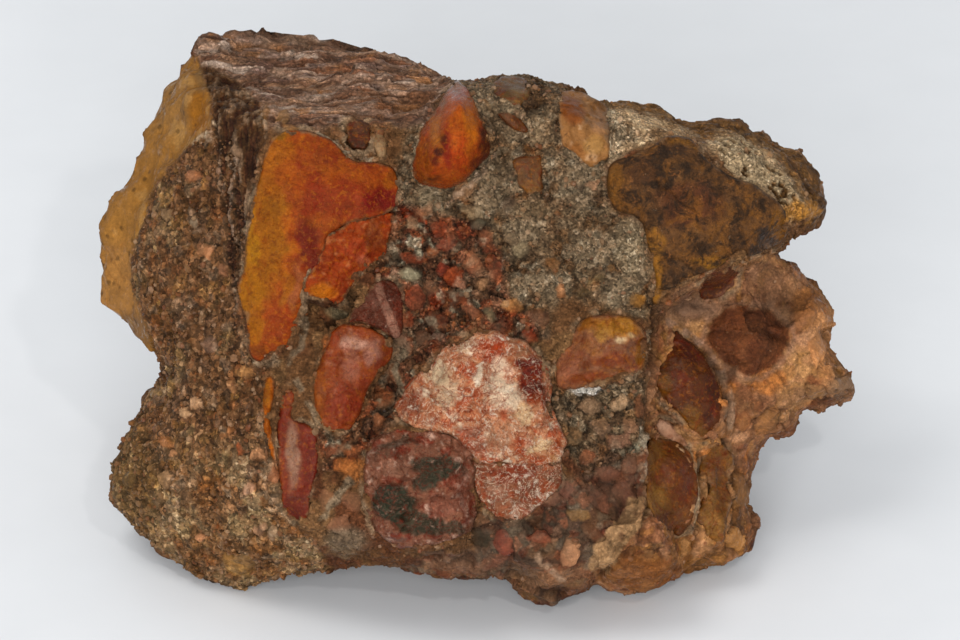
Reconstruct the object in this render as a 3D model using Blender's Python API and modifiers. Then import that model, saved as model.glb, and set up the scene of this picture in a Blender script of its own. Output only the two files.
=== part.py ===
"""A hand specimen of breccia: one broken block of natural rock.

Angular and rounded stones are held in a gritty cement, and the whole is one solid. The block is
drawn as its broken face is seen: across (x), up the face (y) and out of the face (z), all in
millimetres. That face leans back, so the finished block is turned about X and set on its feet.
"""
import math

import bmesh
import bpy
import numpy as np
from mathutils import Matrix, Vector, noise

# Driving dimensions, in millimetres unless a line says otherwise
MM = 0.001
FACE_LEAN = math.radians(30.0)      # how far the broken face leans back from upright
FACE_CENTRE = (0.3, 0.8, 38.6)      # the drawing's zero point in the finished part
FACE_OUT = 26.0                     # the broken face stands this far in front of the zero point
BACK_OUT = 33.0                     # the back lies this far behind it
EDGE_BLEND = 1.6                    # how softly two broken faces meet
BACK_ROUNDING = 1.8                 # the back is rounded this many times more broadly than the front
RIM_HALF = 0.8                      # half the least thickness at the rim
STONE_EDGE_SHIFT = 0.35             # share of a stone's sloping edge that lies outside its outline

# How the surface is broken up: how many features a millimetre, and how high they stand
LUMP_SCALE = 0.075
LUMP_FRONT = 1.3
LUMP_BACK = 2.4
CHIP_SCALE = 0.15
CHIP_FRONT = 1.3
CHIP_BACK = 1.7
STONE_SMOOTH = 0.75                 # stones keep only a quarter of that roughness
BED_SCALE = (0.045, 0.45, 0.25)
BED_HEIGHT = 1.5
FINE_BED_SCALE = (0.09, 1.1, 0.6)
FINE_BED_HEIGHT = 0.7

# The mesh
BLANK_HALF = 4.0                    # half thickness of the blank that is shaped
BLANK_VOXEL = 1.0
ROCK_VOXEL = 0.9
MERGE_GAP = 0.02
FACES_WANTED = 9600
FRONT_KEPT = 0.55                   # how much less the front is thinned out than the back

# The block's outline on the face, clockwise from the notch on the left
OUTLINE = [
    (-54.5, -5), (-59, -3), (-62.4, 1), (-64.2, 3.5), (-64.8, 10), (-65, 13), (-62.8, 20),
    (-59.5, 24), (-57.2, 31), (-54.5, 37.5), (-50, 43), (-48, 44.3), (-48.3, 46.5), (-47.8, 49),
    (-46.3, 49.4), (-43.5, 48.4), (-42, 50.6), (-38, 51.4), (-34, 50.2), (-30.5, 48.6),
    (-27.5, 47.6), (-22.5, 47.4), (-17, 46.3), (-13.5, 45.2), (-9.5, 43), (-6.5, 41.8),
    (-4, 40.6), (-1.5, 40),
    (3.5, 41.5), (11.5, 40), (17.5, 38.2), (20.5, 36.4), (25, 36.8), (29, 35.8), (35.5, 33.6),
    (39, 34), (43, 34), (47, 32), (54, 28.4), (56, 26.4), (58.4, 21.2), (59.6, 19.2),
    (56.9, 15.8), (52.5, 14.2), (49.5, 11.6), (51.8, 9.6), (56, 8.5), (57.5, 6), (60, 3.5), (60.5, 1),
    (59.8, -3), (61.3, -7), (63.3, -9), (64.8, -12), (63.3, -14.6), (58.5, -15.8), (55, -15.5),
    (53.5, -17.5), (52, -19), (49, -19.8), (46.5, -22.5), (46.5, -32.5), (46.3, -37),
    (45.5, -40), (42.5, -41.4), (36, -43), (33, -43.8), (30.5, -45.6), (25.5, -46.2),
    (22.6, -45.4), (20, -43.5), (18.5, -45.6), (13.5, -49.2), (6.5, -45.4), (4.5, -43.6),
    (1.5, -43.1),
    (-1.5, -43.8), (-7, -43.5), (-9.5, -42.2), (-14.5, -42.2), (-27.5, -42), (-31.5, -43),
    (-37.5, -45), (-41, -46), (-44.5, -44), (-50, -42), (-53.5, -40.2), (-56, -38.5),
    (-58.5, -37.5), (-59.8, -34), (-63, -31), (-63.5, -28), (-62, -25), (-61, -21.5),
    (-59, -17), (-56, -13.5), (-53.5, -9),
]

# Along the outline: across, up, depth of the rim there, and how broadly it is rounded
RIM_SPREAD = 4.0
RIM_FALL = 1.8
RIM = [
    (-55.5, -5, 0, 7), (-65, 11, -6, 13), (-57, 32, -5, 11), (-48, 46, -6, 5), (-38, 51, -12, 3),
    (-22, 47, -13, 3), (-9, 43, -8, 3), (-2, 41, 8, 4), (12, 41, 9, 5), (28, 37, 7, 6),
    (40, 34, 3, 7), (54, 29, -2, 8), (59, 20, -3, 6), (51.5, 12, 0, 5), (59, 3, -5, 6),
    (65, -12, -7, 6), (53, -20, -4, 6), (46, -30, -3, 7), (44, -41, -3, 6), (28, -46, 3, 6),
    (20, -44, 6, 4), (13.5, -49, 8, 5), (0, -43, 10, 5), (-15, -41, 11, 5), (-27, -42, 9, 6),
    (-41, -46, 3, 9), (-54, -40, -2, 9), (-63, -28, -5, 10), (-60, -17, -2, 9),
]

# Broken planes in front: depth at zero, slope across, slope up
FRONT_PLANES = {
    "broken face": (FACE_OUT, -0.04, -0.07),
    "left flank": (60.5, 0.86, 0.0),
    "upper left flank": (68.0, 0.90, -0.25),
    "under the face": (75.0, 0.0, 1.22),
    "lower left": (82.0, 0.72, 0.95),
    "upper right wing": (75.0, -0.66, -0.88),
}

# Broken planes behind and below, each as depth at zero, slope across, slope up
BACK_PLANES = {
    "back left": (-BACK_OUT - 3.0, -0.20, 0.10),
    "back right": (-BACK_OUT + 2.0, 0.30, -0.05),
    "back of the top": (-76.0, 0.10, 1.35),
    "left back": (-75.0, -1.05, 0.10),
    "right back": (-64.0, 0.92, -0.12),
    "right top back": (-56.0, 0.55, 1.05),
    "underside": (-98.0, 0.0, -2.5),
}

# The bedded top slab falls away to the back from its front edge
SLAB_OUT = 24.0
SLAB_EDGE_UP = 33.5
SLAB_FALL = 2.6
SLAB_END = -8.0                     # it ends to the right of this
SLAB_END_RISE = 4.0

# The lower right of the face is broken away to a deeper terrace
TERRACE = [
    (51.5, 12), (49, 11), (43.5, 9.5), (38.5, 7.5), (36, 5), (31, 2), (29.5, -3.5),
    (28.5, -10.5), (28, -24), (28.5, -31.5), (31, -36), (36, -48), (72, -48), (72, 12),
]
TERRACE_PLANE = (19.5, -0.24, 0.02)
TERRACE_WALL = 2.2

# Stones and hollows: outline on the face, rise, width of the sloping edge, extra dome
STONES = {
    "left stone": (-4.5, 1.2, 0.0, [
        (-48.5, 44.5), (-48, 41.5), (-46, 37.5), (-46, 33.5), (-49, 31), (-52.5, 27), (-55.5, 24),
        (-57, 19), (-59.5, 12), (-60, 7), (-58.5, 1.5), (-55.5, -5), (-68.5, -5), (-68.5, 46.5),
    ]),
    "dark ridge": (1.4, 1.6, 0.4, [
        (-42, 43), (-37.5, 42), (-37.5, 32.5), (-39.5, 20.5), (-41.5, 20.5), (-42.5, 32),
    ]),
    "orange stone": (2.4, 1.4, 1.4, [
        (-37.5, 31.5), (-31, 32.5), (-22.5, 28), (-14, 24.5), (-14, 20.5), (-17, 17), (-18.5, 12),
        (-21.5, 6), (-24, 3), (-29.5, 2.5), (-30.5, -2.5), (-36, -6.5), (-39.5, -5.5), (-41.5, 4),
        (-39.5, 17),
    ]),
    "drop stone": (6.5, 3.6, 1.5, [
        (-3.5, 41), (0, 35.5), (2, 30), (-0.5, 26), (-5, 22.5), (-10.5, 23), (-11, 28.5), (-8, 35),
    ]),
    "spotted wing stone": (3.0, 1.6, 0.8, [
        (21.5, 25), (27.5, 28.5), (32.5, 32), (37.5, 30), (40.5, 26), (50, 21.5), (53, 16.5),
        (51.5, 12), (43.5, 9.5), (36.5, 6.5), (30.5, 2.5), (29, 10), (27, 17.5), (22, 21),
    ]),
    "red tongue": (2.4, 2.6, 1.0, [
        (-25, -1), (-22.5, -0.5), (-14.5, -4.5), (-16, -7.5), (-19.5, -11), (-20.5, -15.5),
        (-23, -19), (-26.5, -18), (-28.5, -10.5), (-26.5, -4.5),
    ]),
    "dark red wedge": (1.6, 1.4, 0.8, [
        (-23, 1.5), (-18, 7), (-13.5, 5), (-13.5, -2.5), (-18.5, -2),
    ]),
    "marbled stone": (2.2, 2.4, 1.6, [
        (-13.5, -18), (-10.5, -7.5), (-5, -2.5), (3.5, -1.5), (12, -7), (12, -18), (15.5, -22.5),
        (13.5, -27.5), (0, -27.5), (-7, -21.5),
    ]),
    "dark spotted stone": (3.6, 2.6, 1.6, [
        (-18, -21.5), (-13.5, -19.5), (-7, -20.5), (-1.5, -25), (-0.5, -31), (-1.5, -37.5),
        (-8.5, -39.5), (-16.5, -37.5), (-20, -31),
    ]),
    "pink stone": (1.8, 2.0, 0.6, [
        (-0.5, -27.5), (7, -25.5), (13.5, -27.5), (13.5, -32.5), (7, -35), (1.5, -33.5),
    ]),
    "ochre stone": (3.0, 1.6, 0.8, [
        (13.5, -11), (13, -7.5), (16.5, -4.5), (17, 0), (22.5, 1), (27.5, -1), (28.5, -5),
        (26.5, -10), (19, -11),
    ]),
    "square stone": (1.0, 0.9, 0.2, [(5.5, 27.5), (10, 28), (11, 23), (7.5, 21.5)]),
    "top stone": (1.2, 1.2, 0.6, [(1.5, 40), (5, 42), (8.5, 39.5), (7, 36.5), (2.5, 37.5)]),
    "long stone": (1.0, 1.0, 0.4, [(2, 35.5), (7, 34.5), (8, 32), (3, 34)]),
    "rough stone": (1.4, 1.4, 0.6, [
        (13, 38), (16.5, 39.5), (20.5, 37), (22.5, 29), (19, 26), (14.5, 29.5),
    ]),
    "round terrace stone": (2.6, 3.0, 1.2, [
        (38, -3), (40, 0.5), (43.5, 3), (49.5, 1.5), (52, -5), (47, -11), (42, -8),
    ]),
    "leaf stone": (3.0, 2.4, 1.0, [
        (33, -1.5), (37, -5.5), (42, -13.5), (41.5, -19), (37.5, -20.5), (32, -16), (29, -8.5),
    ]),
    "maroon stone": (1.6, 1.6, 0.4, [(37, 5.5), (40.5, 9), (44, 9.5), (43.5, 5), (38.5, 3.5)]),
    "lower brown stone": (5.0, 2.8, 1.6, [
        (29, -20.5), (34.5, -22.5), (37.5, -26.5), (37.5, -31.5), (34.5, -36), (30, -37.5),
        (28, -31),
    ]),
    "right end stone": (2.4, 2.4, 0.8, [
        (55, 3.5), (58.5, 5), (60.5, 1), (61.5, -7), (65, -12), (60, -13.5), (55.5, -7),
    ]),
    "golden lump": (2.2, 2.2, 0.8, [(40, -33), (46, -32), (46, -40), (40.5, -41)]),
    "bottom spur": (1.8, 2.4, 1.0, [
        (3.5, -38.5), (10.5, -36), (20, -37.5), (20, -44.5), (13.5, -49.5), (4, -44.5),
    ]),
    "gritty ridge": (2.0, 2.4, 0.8, [(20.5, -36), (27.5, -32), (29, -34.5), (24, -43.5), (20, -43)]),
    "sunk red stone": (-1.4, 1.4, 0.0, [
        (-35, -15.5), (-32.5, -14.5), (-28, -20.5), (-28.5, -28.5), (-30, -34.5), (-33.5, -33.5),
        (-35, -22.5),
    ]),
    "gap under the orange stone": (-3.0, 1.8, 0.0, [
        (-30.5, 2), (-22, 3.5), (-24.5, -1.5), (-29.5, -1.5),
    ]),
    "grey pocket": (-1.8, 2.4, 0.0, [
        (13.5, -13.5), (20.5, -11), (28.5, -13.5), (27.5, -31), (20.5, -32.5), (15, -22.5),
    ]),
    "dark pit": (-3.0, 1.6, 0.0, [(-2.5, -38.5), (-1.5, -36), (2, -36.5), (1.5, -39.5)]),
    "dark groove": (-2.6, 2.0, 0.0, [
        (-18.5, -11), (-15, -5), (-10.5, -4.5), (-12, -9), (-16.5, -14.5),
    ]),
    "rubble hollow": (-1.8, 2.4, 0.0, [(-12, -2.5), (-6, 5), (0, 3.5), (-7, -4.5)]),
    "block under the slab": (-2.4, 1.4, 0.0, [(-23, 35), (-18.5, 35), (-18.5, 29), (-23, 29)]),
}

# Two feet in front, and the stones that stand out of the back and the sides: across, up and out of
# the face, then their three radii and a turn about the outward axis
LUMPS = {
    "left foot": ((-40, -30, -7), (14, 10, 12), 20),
    "right foot": ((27, -32, -5), (13, 10, 12), -15),
    "back stone": ((14, 5, -23), (15, 11, 9), 30),
    "back left stone": ((-27, 18, -28), (13, 16, 7), -20),
    "back ledge": ((-9, 27, -25), (15, 9, 8), 8),
    "right side stone": ((42, 5, -15), (10, 11, 8), 15),
    "left side stone": ((-49, -19, -15), (10, 12, 9), -10),
}

ROCK_BROWN = (0.17, 0.085, 0.05, 1.0)
CUTTER_GREY = (0.5, 0.5, 0.5, 1.0)
ROCK_ROUGHNESS = 0.55


def clear_scene():
    """Remove whatever the scene holds."""
    for old in list(bpy.data.objects):
        bpy.data.objects.remove(old, do_unlink=True)


def new_collection(name):
    """Make a collection in the scene."""
    collection = bpy.data.collections.new(name)
    bpy.context.scene.collection.children.link(collection)
    return collection


def new_material(name, colour, roughness):
    """A plain surface: colour, roughness and no metal."""
    material = bpy.data.materials.new(name)
    material.use_nodes = True
    shader = material.node_tree.nodes["Principled BSDF"]
    shader.inputs["Base Color"].default_value = colour
    shader.inputs["Roughness"].default_value = roughness
    shader.inputs["Metallic"].default_value = 0.0
    return material


def new_object(name, data, collection):
    """Put a mesh or curve in the scene."""
    item = bpy.data.objects.new(name, data)
    collection.objects.link(item)
    return item


def finished_mesh(item):
    """The object's mesh with its modifiers applied, its doubles merged."""
    bpy.context.view_layer.update()
    graph = bpy.context.evaluated_depsgraph_get()
    mesh = bpy.data.meshes.new_from_object(item.evaluated_get(graph))
    shell = bmesh.new()
    shell.from_mesh(mesh)
    bmesh.ops.remove_doubles(shell, verts=shell.verts, dist=MERGE_GAP)
    shell.to_mesh(mesh)
    shell.free()
    return mesh


def remeshed(item, voxel):
    """The object's mesh rebuilt on an even grid, with overlapping lumps fused."""
    remesh = item.modifiers.new("even grid", "REMESH")
    remesh.mode = "VOXEL"
    remesh.voxel_size = voxel
    mesh = finished_mesh(item)
    bpy.data.objects.remove(item, do_unlink=True)
    return mesh


def smooth_step(value):
    """0 below 0, 1 above 1 and a smooth rise between."""
    clamped = np.clip(value, 0.0, 1.0)
    return clamped * clamped * (3.0 - 2.0 * clamped)


def edge_distance(points, outline):
    """Distance from each point to the outline, positive inside it."""
    start = np.array(outline, dtype=float)
    step = np.roll(start, -1, axis=0) - start
    nearest = np.full(len(points), 1e9)
    inside = np.zeros(len(points), dtype=bool)
    for (ax, ay), (dx, dy) in zip(start, step):
        along = ((points[:, 0] - ax) * dx + (points[:, 1] - ay) * dy) / (dx * dx + dy * dy)
        along = np.clip(along, 0.0, 1.0)
        gap = np.hypot(points[:, 0] - ax - along * dx, points[:, 1] - ay - along * dy)
        nearest = np.minimum(nearest, gap)
        crosses = (ay > points[:, 1]) != (ay + dy > points[:, 1])
        if dy:
            inside ^= crosses & (points[:, 0] < ax + (points[:, 1] - ay) * dx / dy)
    return np.where(inside, nearest, -nearest)


def soft_low(depths):
    """The lowest of several depths, blended where two are close."""
    stack = np.array(depths)
    low = stack.min(axis=0)
    return low - EDGE_BLEND * np.log(np.exp((low - stack) / EDGE_BLEND).sum(axis=0))


def plane_depth(plane, across, up):
    """Depth of a slanted plane."""
    at_zero, slope_across, slope_up = plane
    return at_zero + slope_across * across + slope_up * up


def rim_at(across, up):
    """Depth and roundness of the rim, blended from the nearest stations."""
    depth = np.zeros(len(across))
    roundness = np.zeros(len(across))
    total = np.zeros(len(across))
    for station_across, station_up, station_depth, station_round in RIM:
        gap = (across - station_across) ** 2 + (up - station_up) ** 2 + RIM_SPREAD
        weight = gap ** -RIM_FALL
        depth += weight * station_depth
        roundness += weight * station_round
        total += weight
    return depth / total, roundness / total


def front_depth(across, up):
    """How far the front stands out, before the rim is rounded."""
    planes = [plane_depth(plane, across, up) for plane in FRONT_PLANES.values()]
    slab_end = SLAB_END_RISE * np.maximum(0.0, across - SLAB_END)
    planes.append(SLAB_OUT - SLAB_FALL * (up - SLAB_EDGE_UP) + slab_end)
    depth = soft_low(planes)
    points = np.column_stack((across, up))
    broken_away = smooth_step(edge_distance(points, TERRACE) / TERRACE_WALL + 0.5)
    depth += broken_away * np.minimum(plane_depth(TERRACE_PLANE, across, up) - depth, 0.0)
    for rise, edge, dome, outline in STONES.values():
        inset = edge_distance(points, outline)
        depth += rise * smooth_step(inset / edge + STONE_EDGE_SHIFT)
        depth += dome * (1.0 - np.exp(-np.maximum(inset, 0.0) / (2.0 * edge)))
    return depth


def back_depth(across, up):
    """How far back the rock reaches, before the rim is rounded."""
    return -soft_low([-plane_depth(plane, across, up) for plane in BACK_PLANES.values()])


def swelling(inset):
    """A quarter round: 0 at the rim, 1 from the end of the rounding inwards."""
    return np.sqrt(1.0 - (1.0 - np.clip(inset, 0.0, 1.0)) ** 2)


def shape_blank(mesh):
    """Move the blank's two faces to the front and the back of the rock."""
    points = np.empty(len(mesh.vertices) * 3)
    mesh.vertices.foreach_get("co", points)
    points = points.reshape(-1, 3)
    across, up = points[:, 0], points[:, 1]
    share = np.clip(0.5 + 0.5 * points[:, 2] / BLANK_HALF, 0.0, 1.0)
    rim, roundness = rim_at(across, up)
    inset = np.maximum(edge_distance(points[:, :2], OUTLINE), 0.0)
    front_rim = rim + RIM_HALF
    back_rim = rim - RIM_HALF
    reach = np.maximum(front_depth(across, up) - front_rim, 0.0)
    front = front_rim + reach * swelling(inset / roundness)
    reach = np.minimum(back_depth(across, up) - back_rim, 0.0)
    back = back_rim + reach * swelling(inset / (roundness * BACK_ROUNDING))
    points[:, 2] = back + (front - back) * share
    mesh.vertices.foreach_set("co", points.ravel())
    mesh.update()


def make_blank(collection):
    """The outline as a flat curve with a thickness, made an evenly meshed slab."""
    curve = bpy.data.curves.new("outline", "CURVE")
    curve.dimensions = "2D"
    curve.fill_mode = "BOTH"
    curve.extrude = BLANK_HALF
    spline = curve.splines.new("POLY")
    spline.points.add(len(OUTLINE) - 1)
    for point, (across, up) in zip(spline.points, OUTLINE):
        point.co = (across, up, 0.0, 1.0)
    spline.use_cyclic_u = True
    drawn = new_object("outline", curve, collection)
    solid = new_object("blank", finished_mesh(drawn), collection)
    bpy.data.objects.remove(drawn, do_unlink=True)
    return remeshed(solid, BLANK_VOXEL)


def add_lumps(mesh):
    """Add rounded, faceted lumps to the rock's mesh."""
    shell = bmesh.new()
    shell.from_mesh(mesh)
    for place, radii, turn in LUMPS.values():
        spin = Matrix.Rotation(math.radians(turn), 4, "Z")
        size = Matrix.Diagonal((*radii, 1.0))
        seat = Matrix.Translation(place) @ spin @ size
        made = bmesh.ops.create_icosphere(shell, subdivisions=2, radius=1.0, matrix=seat)
        for vertex in made["verts"]:
            offset = vertex.co - Vector(place)
            vertex.co = Vector(place) + offset * (1.0 + 0.16 * noise.noise(vertex.co * 0.11))
    shell.to_mesh(mesh)
    shell.free()


def front_share(depth):
    """0 behind the rock's waist, 1 in front of it."""
    return smooth_step((depth + 4.0) / 12.0)


def slab_share(points):
    """1 on the bedded top slab, 0 elsewhere."""
    above = np.clip((points[:, 1] - SLAB_EDGE_UP) / 4.0, 0.0, 1.0)
    left = np.clip((SLAB_END - points[:, 0]) / 4.0, 0.0, 1.0)
    return above * left


def stone_share(points):
    """1 on the face's stones, 0 on the cement and on the back."""
    share = np.zeros(len(points))
    for rise, edge, _, outline in STONES.values():
        if rise > 0.0:
            share = np.maximum(share, smooth_step(edge_distance(points[:, :2], outline) / edge))
    return share * front_share(points[:, 2])


def stretched(place, scale):
    """A place scaled by a different amount along each axis."""
    return Vector((place.x * scale[0], place.y * scale[1], place.z * scale[2]))


def roughen(mesh):
    """Break the surface up: chips all over, and bedding ridges on the top slab."""
    shell = bmesh.new()
    shell.from_mesh(mesh)
    bmesh.ops.smooth_vert(shell, verts=shell.verts, factor=0.5,
                          use_axis_x=True, use_axis_y=True, use_axis_z=True)
    shell.to_mesh(mesh)
    shell.free()
    places = [vertex.co.copy() for vertex in mesh.vertices]
    normals = [vertex.normal.copy() for vertex in mesh.vertices]
    points = np.array(places)
    front = front_share(points[:, 2])
    rough = 1.0 - STONE_SMOOTH * stone_share(points)
    lump_height = (LUMP_BACK + (LUMP_FRONT - LUMP_BACK) * front) * rough
    chip_height = (CHIP_BACK + (CHIP_FRONT - CHIP_BACK) * front) * rough
    slab = slab_share(points)
    for index, (place, normal) in enumerate(zip(places, normals)):
        nearest, second = noise.voronoi(place * CHIP_SCALE)[0][:2]
        height = noise.noise(place * LUMP_SCALE) * lump_height[index]
        height += (second - nearest) * chip_height[index]
        ridge = noise.noise(stretched(place, BED_SCALE)) * BED_HEIGHT
        ridge += noise.noise(stretched(place, FINE_BED_SCALE)) * FINE_BED_HEIGHT
        mesh.vertices[index].co = place + normal * (height + ridge * slab[index])
    mesh.update()


def thin_out(item):
    """Reduce the faces, and keep more of them on the broken front than on the back."""
    weights = item.vertex_groups.new(name="thin here")
    depths = np.array([vertex.co.z for vertex in item.data.vertices])
    for index, share in enumerate(front_share(depths)):
        weights.add([index], float(1.0 - FRONT_KEPT * share), "REPLACE")
    faces = sum(len(polygon.vertices) - 2 for polygon in item.data.polygons)
    thin = item.modifiers.new("fewer faces", "DECIMATE")
    thin.ratio = FACES_WANTED / faces
    thin.vertex_group = weights.name
    thin.vertex_group_factor = 1.0


def floor_cutter(collection):
    """A block whose top is the surface that the rock stands on."""
    side = 300.0 * MM
    bpy.ops.mesh.primitive_cube_add(size=side, location=(0.0, 0.0, -side / 2.0))
    floor = bpy.context.object
    floor.name = "floor cutter"
    floor.hide_render = True
    floor.display_type = "WIRE"
    for holder in list(floor.users_collection):
        holder.objects.unlink(floor)
    collection.objects.link(floor)
    floor.data.materials.append(new_material("cutter", CUTTER_GREY, ROCK_ROUGHNESS))
    return floor


def main():
    """Build the rock and set it on its feet."""
    clear_scene()
    rock_parts = new_collection("breccia")
    cutters = new_collection("cutters")

    blank = make_blank(cutters)
    shape_blank(blank)
    add_lumps(blank)
    rough = remeshed(new_object("rough", blank, cutters), ROCK_VOXEL)
    roughen(rough)
    draft = new_object("draft", rough, cutters)
    thin_out(draft)
    mesh = finished_mesh(draft)
    bpy.data.objects.remove(draft, do_unlink=True)

    lean_back = Matrix.Rotation(math.pi / 2.0 - FACE_LEAN, 4, "X")
    stand = Matrix.Translation(Vector(FACE_CENTRE) * MM) @ Matrix.Scale(MM, 4) @ lean_back
    mesh.transform(stand)
    rock = new_object("breccia", mesh, rock_parts)
    rock.data.materials.append(new_material("rock", ROCK_BROWN, ROCK_ROUGHNESS))

    rest = rock.modifiers.new("flat rest", "BOOLEAN")
    rest.operation = "DIFFERENCE"
    rest.solver = "EXACT"
    rest.object = floor_cutter(cutters)


main()
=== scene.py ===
# %% [markdown]
# # A hand specimen of breccia
#
# Breccia is a rock made of broken stones that later got cemented together. This lesson builds one
# block of it in the order in which nature did: the block with its gritty cement first, then the
# big smooth stones held in it, the small stones and chips, and last the loose-looking sand grains.
#
# The block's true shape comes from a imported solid. It is loaded first and never changed: all the
# fine work is done on a copy.

# %% Load the rock
import math
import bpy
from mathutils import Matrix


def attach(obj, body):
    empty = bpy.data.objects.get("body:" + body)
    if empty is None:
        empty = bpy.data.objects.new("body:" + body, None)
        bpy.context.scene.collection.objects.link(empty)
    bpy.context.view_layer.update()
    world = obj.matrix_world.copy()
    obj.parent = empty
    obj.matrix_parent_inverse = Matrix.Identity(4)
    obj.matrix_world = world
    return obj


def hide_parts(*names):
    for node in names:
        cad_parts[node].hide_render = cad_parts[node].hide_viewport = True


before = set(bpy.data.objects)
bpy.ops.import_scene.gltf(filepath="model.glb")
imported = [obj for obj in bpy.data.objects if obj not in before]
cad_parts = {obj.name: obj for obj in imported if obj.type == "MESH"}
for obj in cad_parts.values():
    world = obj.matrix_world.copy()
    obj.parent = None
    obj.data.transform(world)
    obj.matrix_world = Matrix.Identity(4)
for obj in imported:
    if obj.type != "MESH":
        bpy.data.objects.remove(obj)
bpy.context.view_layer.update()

from types import SimpleNamespace

import bmesh
import bpy
import numpy as np
from mathutils import Matrix, Vector, geometry
from mathutils.bvhtree import BVHTree

# %% [markdown]
# ## The drawing sheet
#
# The broken face leans back by 30 degrees, and everything on it is laid out on a flat drawing
# sheet that stands in the same plane. The sheet is 960 units wide and 640 high, and a unit is
# 0.1715 mm. x runs to the right and y runs down. A viewer looks at the sheet square on from about
# 2.3 m away, so a place on the sheet is carried to the rock along the line of sight.
#
# Lines, stones and paint are written as short rows of text. A place is x,y and a tone is
# red,green,blue, so a small helper that reads such rows comes first.

# %% The drawing sheet
MM = 0.001
UNIT = 0.1715
SHEET_MIDDLE = np.array((480.0, 320.0))
FACE_LEAN = math.radians(30.0)
FACE_CENTRE = np.array((0.3, 0.8, 38.6))
FACE_TURN = np.array(Matrix.Rotation(math.pi / 2.0 - FACE_LEAN, 3, "X"))
LENS = 500.0
SENSOR = 36.0
EYE_AWAY = 960 * UNIT * LENS / SENSOR


def to_face(places):
    """World places in metres as millimetres across, up and out of the face."""
    return (np.asarray(places) / MM - FACE_CENTRE) @ FACE_TURN


def to_world(places):
    """Places on the face, in millimetres, as world places in metres."""
    return (np.asarray(places) @ FACE_TURN.T + FACE_CENTRE) * MM


def on_sheet(places):
    """Where the viewer sees each place of the face on the drawing sheet."""
    closer = EYE_AWAY / (EYE_AWAY - places[:, 2:3])
    return SHEET_MIDDLE + places[:, :2] * closer * (1.0, -1.0) / UNIT


def rows(text):
    """Rows parted by semicolons; each word is a number, or numbers that commas join into one value."""
    table = []
    for row in filter(str.strip, text.split(";")):
        words = [tuple(float(number) for number in word.split(",")) for word in row.split()]
        table.append([word if len(word) > 1 else word[0] for word in words])
    return table


def sheet_line(text):
    """A line on the sheet, written as x,y pairs."""
    return rows(text)[0]


eye = to_world([(0.0, 0.0, EYE_AWAY)])[0]
print("the viewer's eye is at", eye.round(3), "m")

# %% [markdown]
# ## Random but repeatable roughness
#
# Broken rock is rough at every size. Two kinds of roughness cover nearly all of it: soft clouds,
# for lumps and stains, and cells, for chips, grains and pits. Both are worked out from a place and
# a seed number, so they come out the same every time.

# %% Clouds and cells
def dice(cells, seed):
    """A fixed random number from 0 to 1 for each cell of a grid."""
    mixed = cells[:, 0] * 374761393 + cells[:, 1] * 668265263 + cells[:, 2] * 1274126177
    mixed = (mixed + seed * 974711) & 0xFFFFFFFF
    mixed = ((mixed ^ (mixed >> 13)) * 1103515245) & 0xFFFFFFFF
    mixed = ((mixed ^ (mixed >> 15)) * 668265263) & 0xFFFFFFFF
    return ((mixed ^ (mixed >> 16)) & 0xFFFFFF) / float(0xFFFFFF)


TILT = np.array(Matrix.Rotation(0.9, 3, (0.4, 1.0, 0.3)))


def cloud(places, size, seed=0, layers=2):
    """Soft bumps between about -1 and 1, `size` millimetres across, with finer ones on top."""
    total = np.zeros(len(places))
    strength = 1.0
    spots = places / size
    for layer in range(layers):
        spots = spots @ TILT + 17.3
        corner = np.floor(spots).astype(np.int64)
        part = spots - corner
        part = part * part * (3.0 - 2.0 * part)
        value = np.zeros(len(places))
        for step in np.ndindex(2, 2, 2):
            weight = 1.0
            for axis, far in enumerate(step):
                weight = weight * (part[:, axis] if far else 1 - part[:, axis])
            value += weight * dice(corner + step, seed + layer)
        total += strength * (2.0 * value - 1.0)
        strength *= 0.5
        spots = spots * 2.1
    return total


def cloud_pair(places, size, seeds):
    """Two clouds side by side, to push sheet places about."""
    return np.stack([cloud(places, size, seed) for seed in seeds], axis=1)


def cells(places, size, seed=0):
    """For scattered centres: distance to the nearest and the second, its number and the way there."""
    spots = places / size
    home = np.floor(spots).astype(np.int64)
    first = np.full(len(places), 9.0)
    second = np.full(len(places), 9.0)
    winner = np.zeros_like(home)
    way = np.zeros((len(places), 3))
    for step in np.ndindex(3, 3, 3):
        cell = home + step - 1
        shift = np.stack([dice(cell, seed + k) for k in (11, 12, 13)], axis=1)
        away = cell + shift - spots
        gap = np.sqrt((away * away).sum(axis=1))
        closer = gap < first
        second = np.where(closer, first, np.minimum(second, gap))
        winner[closer] = cell[closer]
        way[closer] = away[closer]
        first = np.where(closer, gap, first)
    return first, second, dice(winner, seed + 14), way


def ease(value):
    """0 below 0, 1 above 1 and a smooth rise between."""
    clamped = np.clip(value, 0.0, 1.0)
    return clamped * clamped * (3.0 - 2.0 * clamped)


def fragments(places, size, seed, ragged=0.22):
    """Broken pieces packed together: 0 in the joints and 1 inside, a number for each, and a facet."""
    shift = np.stack([cloud(places, size * 0.6, seed + k) for k in (1, 2, 3)], axis=1)
    first, second, number, way = cells(places + ragged * size * shift, size, seed)
    turn = number * 40.0
    lean = way[:, 0] * np.cos(turn) + way[:, 1] * np.sin(turn) + way[:, 2] * np.cos(1.7 * turn)
    return ease((second - first) / 0.16), number, lean


def gap_to(spots, start, step):
    """How far each spot is from the straight line from a start along a step, in sheet units."""
    (x, y), (dx, dy) = start, step
    along = ((spots[:, 0] - x) * dx + (spots[:, 1] - y) * dy) / (dx * dx + dy * dy + 1e-12)
    along = np.clip(along, 0.0, 1.0)
    return np.hypot(spots[:, 0] - x - along * dx, spots[:, 1] - y - along * dy)


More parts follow.
